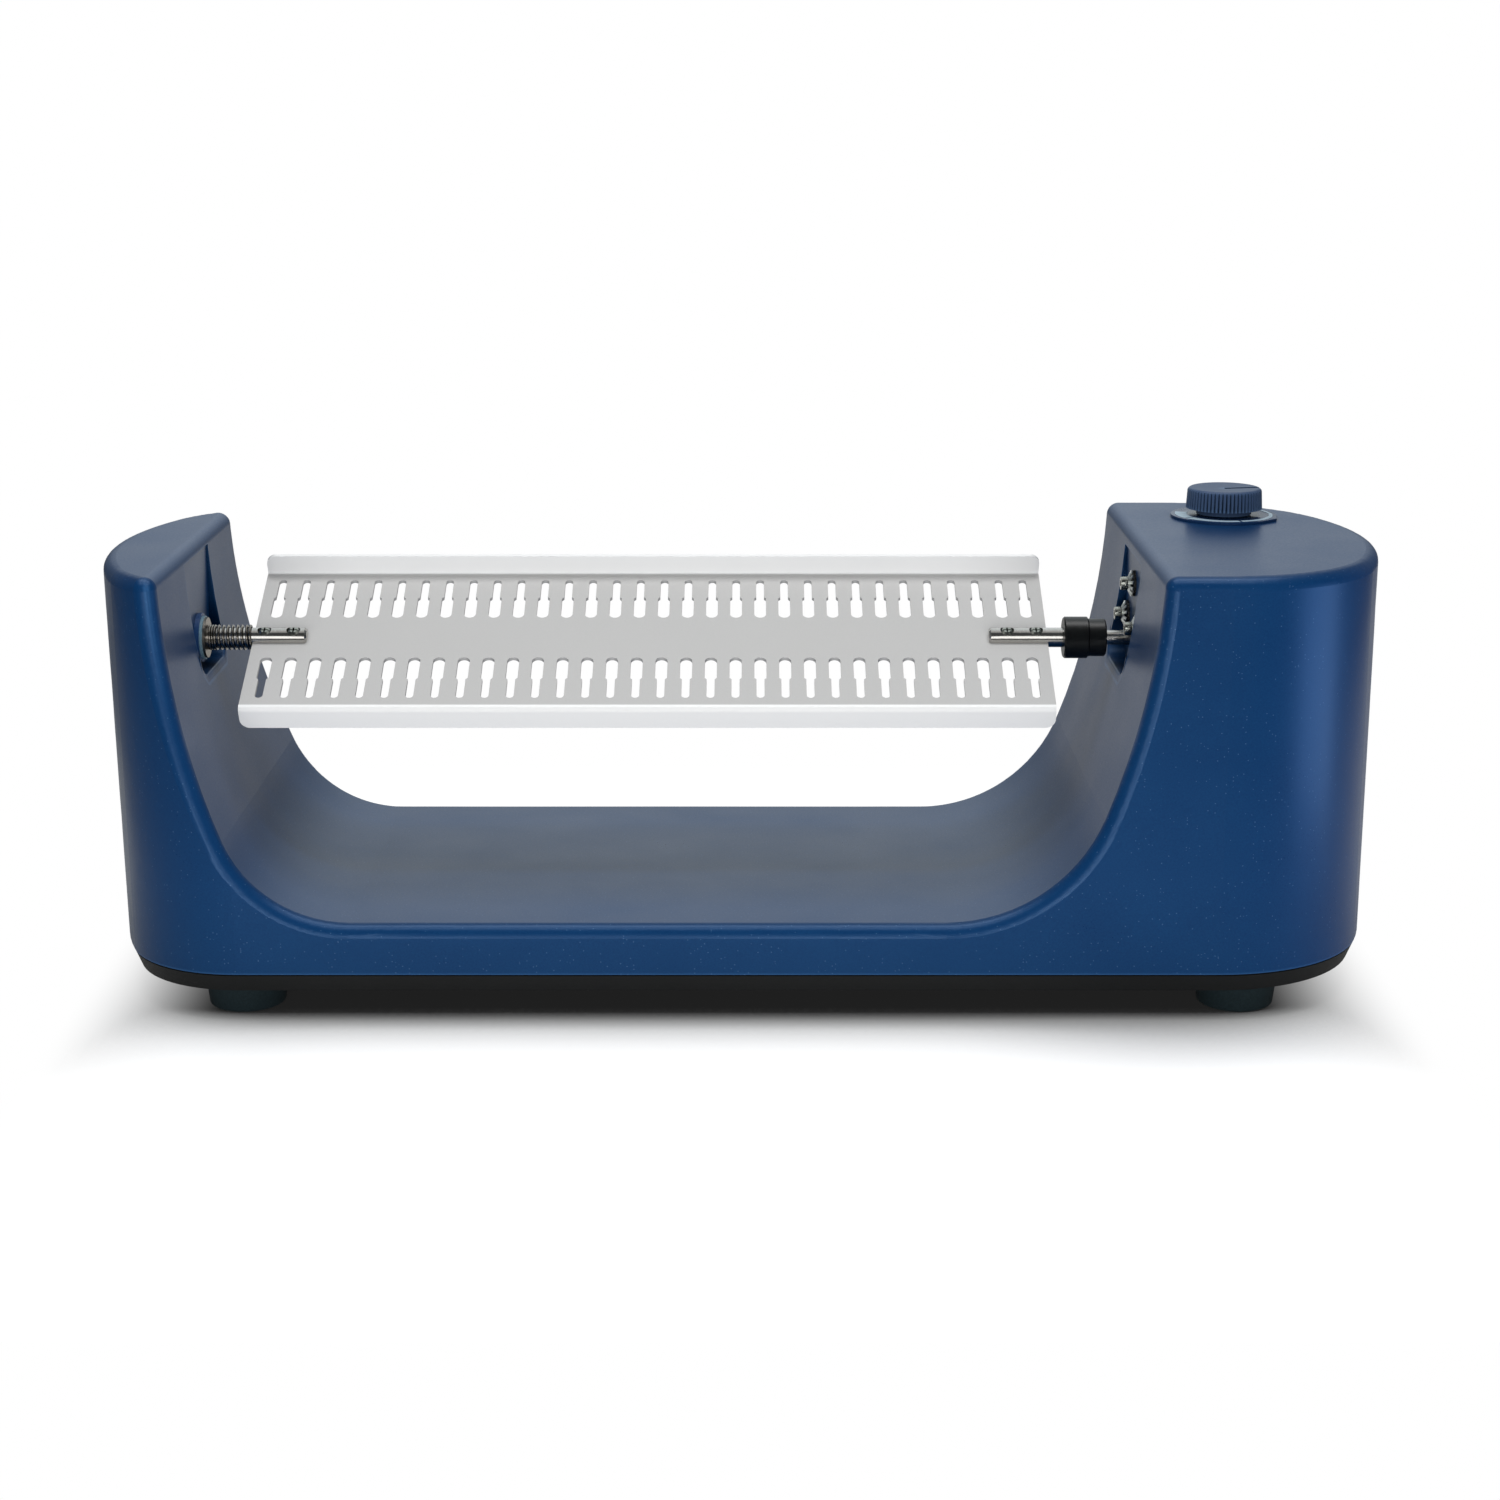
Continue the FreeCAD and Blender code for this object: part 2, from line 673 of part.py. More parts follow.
def casingShell():
    body = towers("casing_block", "0", "casing_bottom", "casing_top")
    step = rectangle(sketchOn(body, "tail_top", "XZ"), "-casing_length / 2 - overshoot", "-tail_floor_end",
                     "casing_top - tail_tower_drop", "casing_top + overshoot")
    feature(body, "Pocket", "tail_tower_top", step, Type="ThroughAll", SideType="Symmetric")
    doc.recompute()

    def rimEdge(edge):
        point, span = middle(edge), edge.BoundBox
        betweenTowers = -size("tail_seat") < point.x < size("drive_seat")
        onSaddle = betweenTowers and point.z > size("saddle_floor") - NEAR
        onWall = abs(point.y) > size("casing_depth / 2 - depth_draft - edge_round")
        saddleRim = onSaddle and onWall and span.XLength > size("casing_wall")
        topRim = span.ZLength < NEAR and point.z > size("casing_top - tail_tower_drop") - NEAR
        return topRim or saddleRim

    roundEdges(body, "rim_round", rimEdge, "edge_round")
    # Flat seats cut back into both tower walls round the shaft line.
    for name, sign, lift, reverse in (("drive", "", "drive_seat", False), ("tail", "-", "-tail_seat", True)):
        sketch = profile(sketchOn(body, name + "_seat_outline", "YZ", lift), [
            ("-seat_width / 2 + seat_chamfer", "seat_bottom"),
            ("seat_width / 2 - seat_chamfer", "seat_bottom"),
            ("seat_width / 2", "seat_bottom + seat_chamfer"),
            ("seat_width / 2", "seat_top"),
            ("-seat_width / 2", "seat_top"),
            ("-seat_width / 2", "seat_bottom + seat_chamfer")])
        feature(body, "Pocket", name + "_seat_cut", sketch, "%s_seat - %s_floor_end" % (name, name),
                Reversed=reverse)

    # Flat seat and cut-out for the power inlet in the rear wall, with its two screw holes.
    seat = rectangle(sketchOn(body, "inlet_seat_outline", "XZ", "-inlet_seat"),
                     "inlet_reach - inlet_flange_width / 2 - fixed_fit",
                     "inlet_reach + inlet_flange_width / 2 + fixed_fit",
                     "inlet_line - inlet_flange_height / 2 - fixed_fit",
                     "inlet_line + inlet_flange_height / 2 + fixed_fit")
    feature(body, "Pocket", "inlet_seat_cut", seat, "3 * casing_wall")
    hole = rectangle(sketchOn(body, "inlet_hole_outline", "XZ", "-inlet_seat - casing_wall"),
                     "inlet_reach - inlet_body_width / 2 - fixed_fit",
                     "inlet_reach + inlet_body_width / 2 + fixed_fit",
                     "inlet_line - inlet_body_height / 2 - fixed_fit",
                     "inlet_line + inlet_body_height / 2 + fixed_fit")
    for sign in "-+":
        circle(hole, "inlet_reach %s inlet_screw_spacing / 2" % sign, "inlet_line", "inlet_screw_radius")
    feature(body, "Pocket", "inlet_hole_cut", hole, "4 * casing_wall", Reversed=True)

    hollow = towers("casing_hollow", "casing_wall", "casing_bottom - part_gap",
                    "casing_top - casing_wall")
    lower = rectangle(sketchOn(hollow, "tail_ceiling", "XZ"), "-casing_length / 2", "-tail_floor_end",
                      "casing_top - tail_tower_drop - casing_wall", "casing_top + overshoot")
    feature(hollow, "Pocket", "tail_ceiling_cut", lower, Type="ThroughAll", SideType="Symmetric")
    for name, left, right in (
            ("drive", "drive_floor_end", "drive_seat + seat_backing"),
            ("tail", "-tail_seat - seat_backing", "-tail_floor_end")):
        backing = rectangle(sketchOn(hollow, name + "_backing", "XZ"), left, right,
                            "seat_bottom - casing_wall", "casing_top + overshoot")
        feature(hollow, "Pocket", name + "_backing_cut", backing, "seat_width + 2 * casing_wall",
                SideType="Symmetric")
    behind = rectangle(sketchOn(hollow, "inlet_backing", "XZ", "inlet_backing - inlet_seat"),
                       "inlet_reach - inlet_flange_width / 2 - casing_wall / 3",
                       "inlet_reach + inlet_flange_width / 2 + casing_wall / 3",
                       "inlet_line - inlet_flange_height / 2 - casing_wall",
                       "inlet_line + inlet_flange_height / 2 + casing_wall")
    feature(hollow, "Pocket", "inlet_backing_cut", behind, "4 * casing_wall")

    posts = []
    drills = []
    rows = (("tail", "-post_tail_reach"), ("middle", "-post_middle_reach"), ("drive", "post_drive_reach"))
    for name, x in rows:
        for side, y in (("front", "-post_side_reach"), ("rear", "post_side_reach")):
            start = "tray_bottom + tray_floor + base_screw_boss"
            posts.append(rod("post_%s_%s" % (name, side), "post_radius",
                             "saddle_floor - casing_wall / 2 - (%s)" % start if name == "middle"
                             else "%s_blend - (%s)" % (name, start), x, y, start))
            drills.append(rod("post_hole_%s_%s" % (name, side), "post_hole", "post_hole_depth", x, y, start))

    shell = cut("casing_hollowed", body, [hollow])
    inside = doc.addObject("Part::Common", "posts_inside")
    inside.Base = fuse("posts", posts)
    inside.Tool = body
    holes = drills + [
        rod("bush_hole", "bush_barrel_radius + fixed_fit", "4 * casing_wall + seat_backing",
            "-tail_seat - 2 * casing_wall - seat_backing", "0", "shaft_line", Y_AXIS, 90),
        rod("gearbox_boss_hole", "gearbox_boss_radius + fixed_fit", "4 * casing_wall",
            "drive_seat - casing_wall", "0", "shaft_line", Y_AXIS, 90),
        rod("pot_hole", "pot_bushing_radius + fixed_fit", "3 * casing_wall",
            "knob_reach", "knob_side_reach", "casing_top - 2 * casing_wall"),
        block("switch_seat_cut", "casing_wall", "switch_bezel_width + 2 * fixed_fit",
              "switch_bezel_height + 2 * fixed_fit", "casing_length / 2 - switch_seat",
              "-switch_bezel_width / 2 - fixed_fit", "switch_line - switch_bezel_height / 2 - fixed_fit"),
        block("switch_cut", "5 * casing_wall", "switch_body_width + 2 * fixed_fit",
              "switch_body_height + 2 * fixed_fit", "casing_length / 2 - 3 * casing_wall",
              "-switch_body_width / 2 - fixed_fit", "switch_line - switch_body_height / 2 - fixed_fit"),
    ]
    for i, (y, z) in enumerate(MOTOR_SCREWS):
        holes.append(rod("motor_screw_hole_%d" % (i + 1), "motor_screw_radius + screw_clearance",
                         "4 * casing_wall", "drive_seat - casing_wall", y, z, Y_AXIS, 90))
    named("casing_shell", cut("casing_shell", fuse("casing_with_posts", [shell, inside]), holes))


MOTOR_CENTRE = "shaft_line + gearbox_offset"
MOTOR_SCREWS = [
    ("0", MOTOR_CENTRE + " + motor_screw_circle"), ("motor_screw_circle", MOTOR_CENTRE),
    ("0", MOTOR_CENTRE + " - motor_screw_circle"), ("-motor_screw_circle", MOTOR_CENTRE)]

pieces = []


def named(label, piece, solids=1):
    piece.Label = label
    pieces.append((piece, solids))
    return piece


BASE_SCREWS = [(x, y) for x in ("-post_tail_reach", "-post_middle_reach", "post_drive_reach")
               for y in ("-post_side_reach", "post_side_reach")]
FEET = [("front_left", "-foot_reach", "-foot_side_reach"), ("front_right", "foot_reach", "-foot_side_reach"),
        ("rear_left", "-foot_reach", "foot_side_reach"), ("rear_right", "foot_reach", "foot_side_reach")]


def baseTray():
    body = newBody("tray_body")
    low = casingOutline(body, "tray_low", "tray_bottom", "tray_inset", "depth_draft", "tail_draft")
    high = casingOutline(body, "tray_high", "casing_bottom - shadow_height", "tray_side",
                         "depth_draft", "tail_draft")
    loft = body.newObject("PartDesign::AdditiveLoft", "tray_band")
    loft.Profile = low
    loft.Sections = [high]
    loft.Ruled = True
    rim = casingOutline(body, "tray_rim", "casing_bottom - shadow_height", "shadow_depth",
                        "depth_draft", "tail_draft")
    feature(body, "Pad", "tray_rim_pad", rim, "shadow_height")
    lip = casingOutline(body, "tray_lip", "casing_bottom", "(casing_wall + part_gap)",
                        "depth_draft", "tail_draft")
    feature(body, "Pad", "tray_lip_pad", lip, "lip_height")
    well = casingOutline(body, "tray_well", "tray_bottom + tray_floor",
                         "(casing_wall + part_gap + lip_thickness)", "depth_draft", "tail_draft")
    feature(body, "Pocket", "tray_well_cut", well, "casing_bottom + lip_height", Reversed=True)
    floor = "tray_bottom + tray_floor"
    bosses = [rod("screw_boss_%d" % (i + 1), "post_radius", "base_screw_boss + fixed_fit", x, y,
                  floor + " - fixed_fit") for i, (x, y) in enumerate(BASE_SCREWS)]
    bosses += [rod("foot_boss_" + name, "foot_boss_radius", "foot_boss_height + tray_floor / 2", x, y,
                   "tray_bottom + tray_floor / 2") for name, x, y in FEET]
    bosses += [rod("standoff_%d" % (i + 1), "standoff_radius", "standoff_height + tray_floor / 2", x, y,
                   "tray_bottom + tray_floor / 2") for i, (x, y) in enumerate(BOARD_CORNERS)]
    holes = []
    for i, (x, y) in enumerate(BASE_SCREWS):
        holes.append(rod("screw_way_%d" % (i + 1), "base_screw_radius + screw_clearance",
                         "3 * tray_floor", x, y, "tray_bottom - tray_floor"))
        holes.append(rod("screw_sink_%d" % (i + 1), "base_screw_head + screw_clearance",
                         "base_screw_recess + tray_floor", x, y, "tray_bottom - tray_floor"))
    holes += [rod("foot_way_" + name, "foot_screw_radius", "foot_boss_height + 2 * tray_floor", x, y,
                  "tray_bottom - tray_floor") for name, x, y in FEET]
    holes += [rod("standoff_hole_%d" % (i + 1), "board_screw_radius", "standoff_height", x, y,
                  "tray_bottom + tray_floor") for i, (x, y) in enumerate(BOARD_CORNERS)]
    return named("base_tray", cut("base_tray", fuse("tray_with_bosses", [body] + bosses), holes))


BOARD_CORNERS = [("board_reach %s (board_length / 2 - board_corner_inset)" % along,
                  "-board_forward %s (board_width / 2 - board_corner_inset)" % across)
                 for along in "+-" for across in "+-"]


def feet():
    for name, x, y in FEET:
        body = newBody("foot_" + name, x=x, y=y)
        outline = profile(sketchOn(body, name + "_outline", "XZ"), [
            ("foot_recess_radius", "0"),
            ("foot_tread_radius - foot_round", "0"),
            ("foot_tread_radius", "foot_round"),
            ("foot_radius", "foot_height"),
            ("foot_neck_radius", "foot_height"),
            ("foot_neck_radius", "tray_bottom"),
            ("foot_screw_radius + screw_clearance", "tray_bottom"),
            ("foot_screw_radius + screw_clearance", "foot_screw_seat"),
            ("foot_recess_radius", "foot_screw_seat")],
            {1: ("foot_tread_radius - foot_round", "foot_round", 1)})
        spin(body, "Revolution", name + "_turned", outline, "Z")
        named("foot_" + name, body)


def screwBody(label, head, headHeight, shank, length, socket):
    # Pan head screw that points up; its head's bearing face is at local zero.
    body = newBody(label + "_pattern")
    outline = profile(sketchOn(body, label + "_outline", "XZ"), [
        ("0", "-(%s)" % headHeight),
        ("(%s) * screw_crown" % head, "-(%s)" % headHeight),
        (head, "-(%s) * screw_shoulder" % headHeight),
        (head, "0"),
        (shank, "0"),
        (shank, length + " - (%s) / 2" % shank),
        ("(%s) / 2" % shank, length),
        ("0", length)])
    spin(body, "Revolution", label + "_turned", outline, "Z")
    for i, turned in enumerate((False, True)):
        span = "(%s) * cross_reach" % head
        slot = "(%s) * cross_width" % head
        wide, tall = (slot, span) if turned else (span, slot)
        cross = rectangle(sketchOn(body, label + "_cross_%d" % i, "XY", "-(%s)" % headHeight),
                          "-" + wide, wide, "-" + tall, tall)
        feature(body, "Pocket", label + "_drive_%d" % i, cross, socket, Reversed=True)
    return body


def baseFasteners():
    screw = screwBody("base_screw", "base_screw_head", "base_screw_head_height",
                      "base_screw_radius - thread_clearance", "base_screw_length",
                      "base_screw_head_height / 2")
    named("base_screws", copies("base_screws", screw,
                                [(x, y, "tray_bottom + base_screw_recess") for x, y in BASE_SCREWS]),
          len(BASE_SCREWS))
    screw = screwBody("foot_screw", "foot_screw_head", "foot_screw_head_height",
                      "foot_screw_radius - thread_clearance", "foot_screw_length",
                      "foot_screw_head_height / 2")
    named("foot_screws", copies("foot_screws", screw, [(x, y, "foot_screw_seat") for name, x, y in FEET]),
          len(FEET))


# Tube plate: a Z section with a flange folded down at the front and one up at the rear.
# Its own frame has the shaft line as X, and the plate's top face at zero.
def tubePlate():
    body = newBody("tube_plate", x="-plate_centre", z="shaft_line", axis=X_AXIS, angle=size("plate_tilt"))
    bind(body, Placement__Rotation__Angle="plate_tilt")
    edge, inner, low = "plate_width / 2", "(bend_radius - plate_thickness)", "-plate_thickness"
    section = profile(sketchOn(body, "section", "YZ"), [
        ("-%s + bend_radius" % edge, "0"),
        ("-%s" % edge, "-bend_radius"),
        ("-%s" % edge, "-flange_height"),
        ("-%s + plate_thickness" % edge, "-flange_height"),
        ("-%s + plate_thickness" % edge, "-bend_radius"),
        ("-%s + bend_radius" % edge, low),
        ("%s - bend_radius" % edge, low),
        (edge, "bend_radius - plate_thickness"),
        (edge, "flange_height - plate_thickness"),
        ("%s - plate_thickness" % edge, "flange_height - plate_thickness"),
        ("%s - plate_thickness" % edge, inner),
        ("%s - bend_radius" % edge, "0")],
        {0: ("-%s + bend_radius" % edge, "-bend_radius", 1),
         4: ("-%s + bend_radius" % edge, "-bend_radius", -1),
         6: ("%s - bend_radius" % edge, inner, 1),
         10: ("%s - bend_radius" % edge, inner, -1)})
    feature(body, "Pad", "folded_sheet", section, "plate_length", SideType="Symmetric")
    doc.recompute()

    def flangeCorner(edge):
        point = middle(edge)
        fromMiddle = abs(point.z + size("plate_thickness") / 2)
        atEnd = abs(abs(point.x) - size("plate_length") / 2) < NEAR
        atTip = abs(fromMiddle - size("flange_height - plate_thickness / 2")) < NEAR
        acrossSheet = edge.BoundBox.YLength > size("plate_thickness") / 2 and edge.BoundBox.ZLength < NEAR
        return atEnd and atTip and acrossSheet

    roundEdges(body, "flange_corners", flangeCorner, "flange_corner")
    holes = sketchOn(body, "keyhole_pair", "XY")
    wide, narrow = "keyhole_wide / 2", "keyhole_narrow / 2"
    x = "(-plate_length / 2 + keyhole_first + keyhole_wide / 2)"
    shoulder = "keyhole_step + keyhole_wide / 2 - keyhole_narrow / 2"
    for sign, turn in (("", 1), ("-", -1)):
        profile(holes, [
            ("%s - %s" % (x, wide), "%s(keyhole_inner + %s)" % (sign, wide)),
            ("%s + %s" % (x, wide), "%s(keyhole_inner + %s)" % (sign, wide)),
            ("%s + %s" % (x, wide), "%skeyhole_step" % sign),
            ("%s + %s" % (x, narrow), "%s(%s)" % (sign, shoulder)),
            ("%s + %s" % (x, narrow), "%s(keyhole_outer - %s)" % (sign, narrow)),
            ("%s - %s" % (x, narrow), "%s(keyhole_outer - %s)" % (sign, narrow)),
            ("%s - %s" % (x, narrow), "%s(%s)" % (sign, shoulder)),
            ("%s - %s" % (x, wide), "%skeyhole_step" % sign)],
            {0: (x, "%s(keyhole_inner + %s)" % (sign, wide), turn),
             4: (x, "%s(keyhole_outer - %s)" % (sign, narrow), turn)})
    keyholes = feature(body, "Pocket", "keyholes", holes, "3 * plate_thickness", SideType="Symmetric")
    row = body.newObject("PartDesign::LinearPattern", "keyhole_rows")
    row.Originals = [keyholes]
    row.Direction = (originAxis(body, "X"), [""])
    bind(row, Length="keyhole_pitch * (keyhole_count - 1)", Occurrences="keyhole_count")
    body.Tip = row
    screws = sketchOn(body, "screw_ways", "XY")
    for x in PLATE_SCREWS:
        circle(screws, "%s + plate_centre" % x, "0", "plate_screw_radius + screw_clearance / 2")
    feature(body, "Pocket", "screw_ways_cut", screws, "3 * plate_thickness", SideType="Symmetric")
    return named("tube_plate", body)


TAIL_EDGE = "(-plate_centre - plate_length / 2)"
DRIVE_EDGE = "(-plate_centre + plate_length / 2)"
TAIL_SCREWS = ["%s + plate_screw_inset" % TAIL_EDGE,
               "%s + plate_screw_inset + plate_screw_spacing" % TAIL_EDGE]
DRIVE_SCREWS = ["%s - plate_screw_inset - plate_screw_spacing" % DRIVE_EDGE,
                "%s - plate_screw_inset" % DRIVE_EDGE]
PLATE_SCREWS = TAIL_SCREWS + DRIVE_SCREWS


def rotorBody(label):
    body = newBody(label, z="shaft_line", axis=X_AXIS, angle=size("plate_tilt"))
    bind(body, Placement__Rotation__Angle="plate_tilt")
    return body


def plateShaft(label, outerEnd, edge, innerEnd, screwPlaces):
    # Round bar, flattened to a half round where it lies over the plate.
    body = rotorBody(label)
    away = "-" if size(outerEnd) < 0 else ""
    outer, inner = ("+", "-") if away else ("-", "+")
    outline = profile(sketchOn(body, label + "_outline", "XZ"), [
        (innerEnd, "0"),
        (outerEnd, "0"),
        (outerEnd, "shaft_radius - shaft_chamfer"),
        ("%s %s shaft_chamfer" % (outerEnd, outer), "shaft_radius"),
        ("%s %s shaft_chamfer" % (innerEnd, inner), "shaft_radius"),
        (innerEnd, "shaft_radius - shaft_chamfer")])
    spin(body, "Revolution", label + "_turned", outline, "X")
    past = "%s %s shaft_radius" % (innerEnd, outer)
    left, right = (edge, past) if away else (past, edge)
    flat = rectangle(sketchOn(body, label + "_flat", "XZ"), left, right, "-2 * shaft_radius", "0")
    feature(body, "Pocket", label + "_flat_cut", flat, "4 * shaft_radius", SideType="Symmetric")
    for i, x in enumerate(screwPlaces):
        way = circle(sketchOn(body, label + "_way_%d" % i, "XY"), x, "0",
                     "plate_screw_radius + screw_clearance / 2")
        feature(body, "Pocket", label + "_way_cut_%d" % i, way, "2 * shaft_radius", Reversed=True)
        sink = circle(sketchOn(body, label + "_sink_%d" % i, "XY", "shaft_radius - plate_screw_cone"),
                      x, "0", "plate_screw_head + screw_clearance / 2")
        feature(body, "Pocket", label + "_sink_cut_%d" % i, sink, "2 * shaft_radius", Reversed=True)
    return body


def plateFasteners():
    grip = "shaft_radius - plate_screw_cone + plate_thickness + plate_nut_height"
    screw = screwBody("plate_screw", "plate_screw_head", "plate_screw_cone - fixed_fit",
                      "plate_screw_radius", grip + " + plate_screw_tail", "plate_screw_cone - 2 * fixed_fit")
    nut = newBody("plate_nut_pattern")
    nutSketch = hexagon(sketchOn(nut, "plate_nut_outline", "XY", "-plate_thickness"), "plate_nut_flats")
    circle(nutSketch, "0", "0", "plate_screw_radius + thread_clearance")
    feature(nut, "Pad", "plate_nut_pad", nutSketch, "plate_nut_height", Reversed=True)
    seats = [(x, "0", "shaft_radius - plate_screw_cone") for x in PLATE_SCREWS]
    for group in (copies("plate_screws", screw, seats, X_AXIS, 180),
                  copies("plate_nuts", nut, [(x, "0", "0") for x in PLATE_SCREWS])):
        place(group, z="shaft_line", axis=X_AXIS, angle=size("plate_tilt"))
        bind(group, Placement__Rotation__Angle="plate_tilt")
        named(group.Label, group, len(PLATE_SCREWS))


def releaseSpring():
    # Compression spring: closed turns at both ends and open turns between them.
    # Each half turn is half a ring, tilted to climb half a pitch, so neighbours are tangent.
    wire = size("spring_wire")
    radius = size("spring_outer - spring_wire / 2")
    start = size("-tail_seat + bush_flange + spring_washer_thickness + spring_wire / 2")
    stop = size("%s - spring_seating - spring_wire / 2" % TAIL_EDGE)
    closed, active = int(size("spring_closed_turns")), int(size("spring_active_turns"))
    closedPitch = wire + size("spring_closed_gap")
    activePitch = (stop - start - 2 * closed * closedPitch) / active
    pitches = [closedPitch] * closed + [activePitch] * active + [closedPitch] * closed
    turns = []
    x, side = start, 1
    for pitch in pitches:
        for front in (True, False):
            first = V(x, 0, side * radius)
            last = V(x + pitch / 2, 0, -side * radius)
            centre = (first + last) * 0.5
            section = Part.Face(Part.Wire(Part.Circle(first, Y_AXIS, wire / 2).toShape()))
            outward = -Y_AXIS if front else Y_AXIS
            turns.append(section.revolve(centre, (first - centre).cross(outward), 180))
            x, side = last.x, -side
    spring = doc.addObject("Part::Feature", "release_spring")
    spring.Shape = turns[0].multiFuse(turns[1:]).removeSplitter()
    place(spring, z="shaft_line", axis=X_AXIS, angle=size("plate_tilt"))
    named("release_spring", spring)


def ring(label, start, thickness, inner, outer, x="0", z="shaft_line"):
    body = newBody(label, x=x, z=z)
    sketch = circle(sketchOn(body, label + "_outline", "YZ", start), "0", "0", outer)
    circle(sketch, "0", "0", inner)
    feature(body, "Pad", label + "_pad", sketch, thickness)
    return named(label, body)


def tailBush():
    body = newBody("tail_bush", x="-tail_seat", z="shaft_line")
    bore = "shaft_radius + running_fit"
    tail = "-(seat_backing + bush_barrel_tail)"
    outline = profile(sketchOn(body, "bush_outline", "XZ"), [
        (tail, bore), (tail, "bush_barrel_radius"), ("0", "bush_barrel_radius"),
        ("0", "bush_flange_radius"), ("bush_flange - bush_ring", "bush_flange_radius"),
        ("bush_flange - bush_ring", bore)])
    spin(body, "Revolution", "bush_turned", outline, "X")
    named("tail_bush", body)
    ring("bush_ring", "bush_flange - bush_ring", "bush_ring", bore, "bush_ring_radius", "-tail_seat")
    nut = newBody("bush_nut", x="-tail_seat - seat_backing - bush_nut", z="shaft_line")
    sketch = hexagon(sketchOn(nut, "bush_nut_outline", "YZ"), "bush_nut_flats")
    circle(sketch, "0", "0", "bush_barrel_radius + thread_clearance")
    feature(nut, "Pad", "bush_nut_pad", sketch, "bush_nut")
    named("bush_nut", nut)
    ring("spring_washer", "bush_flange", "spring_washer_thickness", bore, "spring_washer_radius",
         "-tail_seat")


def driveCoupling():
    body = rotorBody("drive_coupling")
    socket = "shaft_radius + running_fit"
    outline = profile(sketchOn(body, "coupling_outline", "XZ"), [
        ("coupling_start", socket),
        ("coupling_start + socket_depth", socket),
        ("coupling_start + socket_depth", "motor_shaft_radius + close_fit"),
        ("coupling_end", "motor_shaft_radius + close_fit"),
        ("coupling_end", "coupling_neck_radius - coupling_chamfer"),
        ("coupling_end - coupling_chamfer", "coupling_neck_radius"),
        ("coupling_step", "coupling_neck_radius"),
        ("coupling_step - coupling_chamfer", "coupling_radius"),
        ("coupling_start + coupling_chamfer", "coupling_radius"),
        ("coupling_start", "coupling_radius - coupling_chamfer")])
    spin(body, "Revolution", "coupling_turned", outline, "X")
    ways = circle(sketchOn(body, "set_screw_way", "XY"), "set_screw_place", "0", "set_screw_radius")
    feature(body, "Pocket", "set_screw_way_cut", ways, "2 * coupling_radius")
    pinTop = "shaft_radius + drive_pin_seat"
    across = circle(sketchOn(body, "drive_pin_way", "XY", pinTop), "drive_pin_place", "0",
                    "drive_pin_radius")
    feature(body, "Pocket", "drive_pin_way_cut", across, "2 * coupling_radius")
    named("drive_coupling", body)
    pinBody = rotorBody("drive_pin")
    pinSketch = circle(sketchOn(pinBody, "drive_pin_outline", "XY", pinTop), "drive_pin_place", "0",
                       "drive_pin_radius")
    feature(pinBody, "Pad", "drive_pin_pad", pinSketch, pinTop + " + coupling_radius - coupling_chamfer",
            Reversed=True)
    named("drive_pin", pinBody)
    grub = rotorBody("coupling_set_screw")
    grubSketch = circle(sketchOn(grub, "grub_outline", "XY", "-motor_shaft_flat"), "set_screw_place", "0",
                        "set_screw_radius - close_fit")
    feature(grub, "Pad", "grub_pad", grubSketch,
            "coupling_neck_radius - motor_shaft_flat - coupling_chamfer", Reversed=True)
    named("coupling_set_screw", grub)


def driveShaftSlot(body):
    slot = rectangle(sketchOn(body, "drive_slot", "XY"),
                     "drive_pin_place - drive_pin_radius - drive_slot_clearance",
                     "drive_shaft_end + overshoot",
                     "-drive_pin_radius - drive_slot_clearance", "drive_pin_radius + drive_slot_clearance")
    feature(body, "Pocket", "drive_slot_cut", slot, "4 * shaft_radius", SideType="Symmetric")


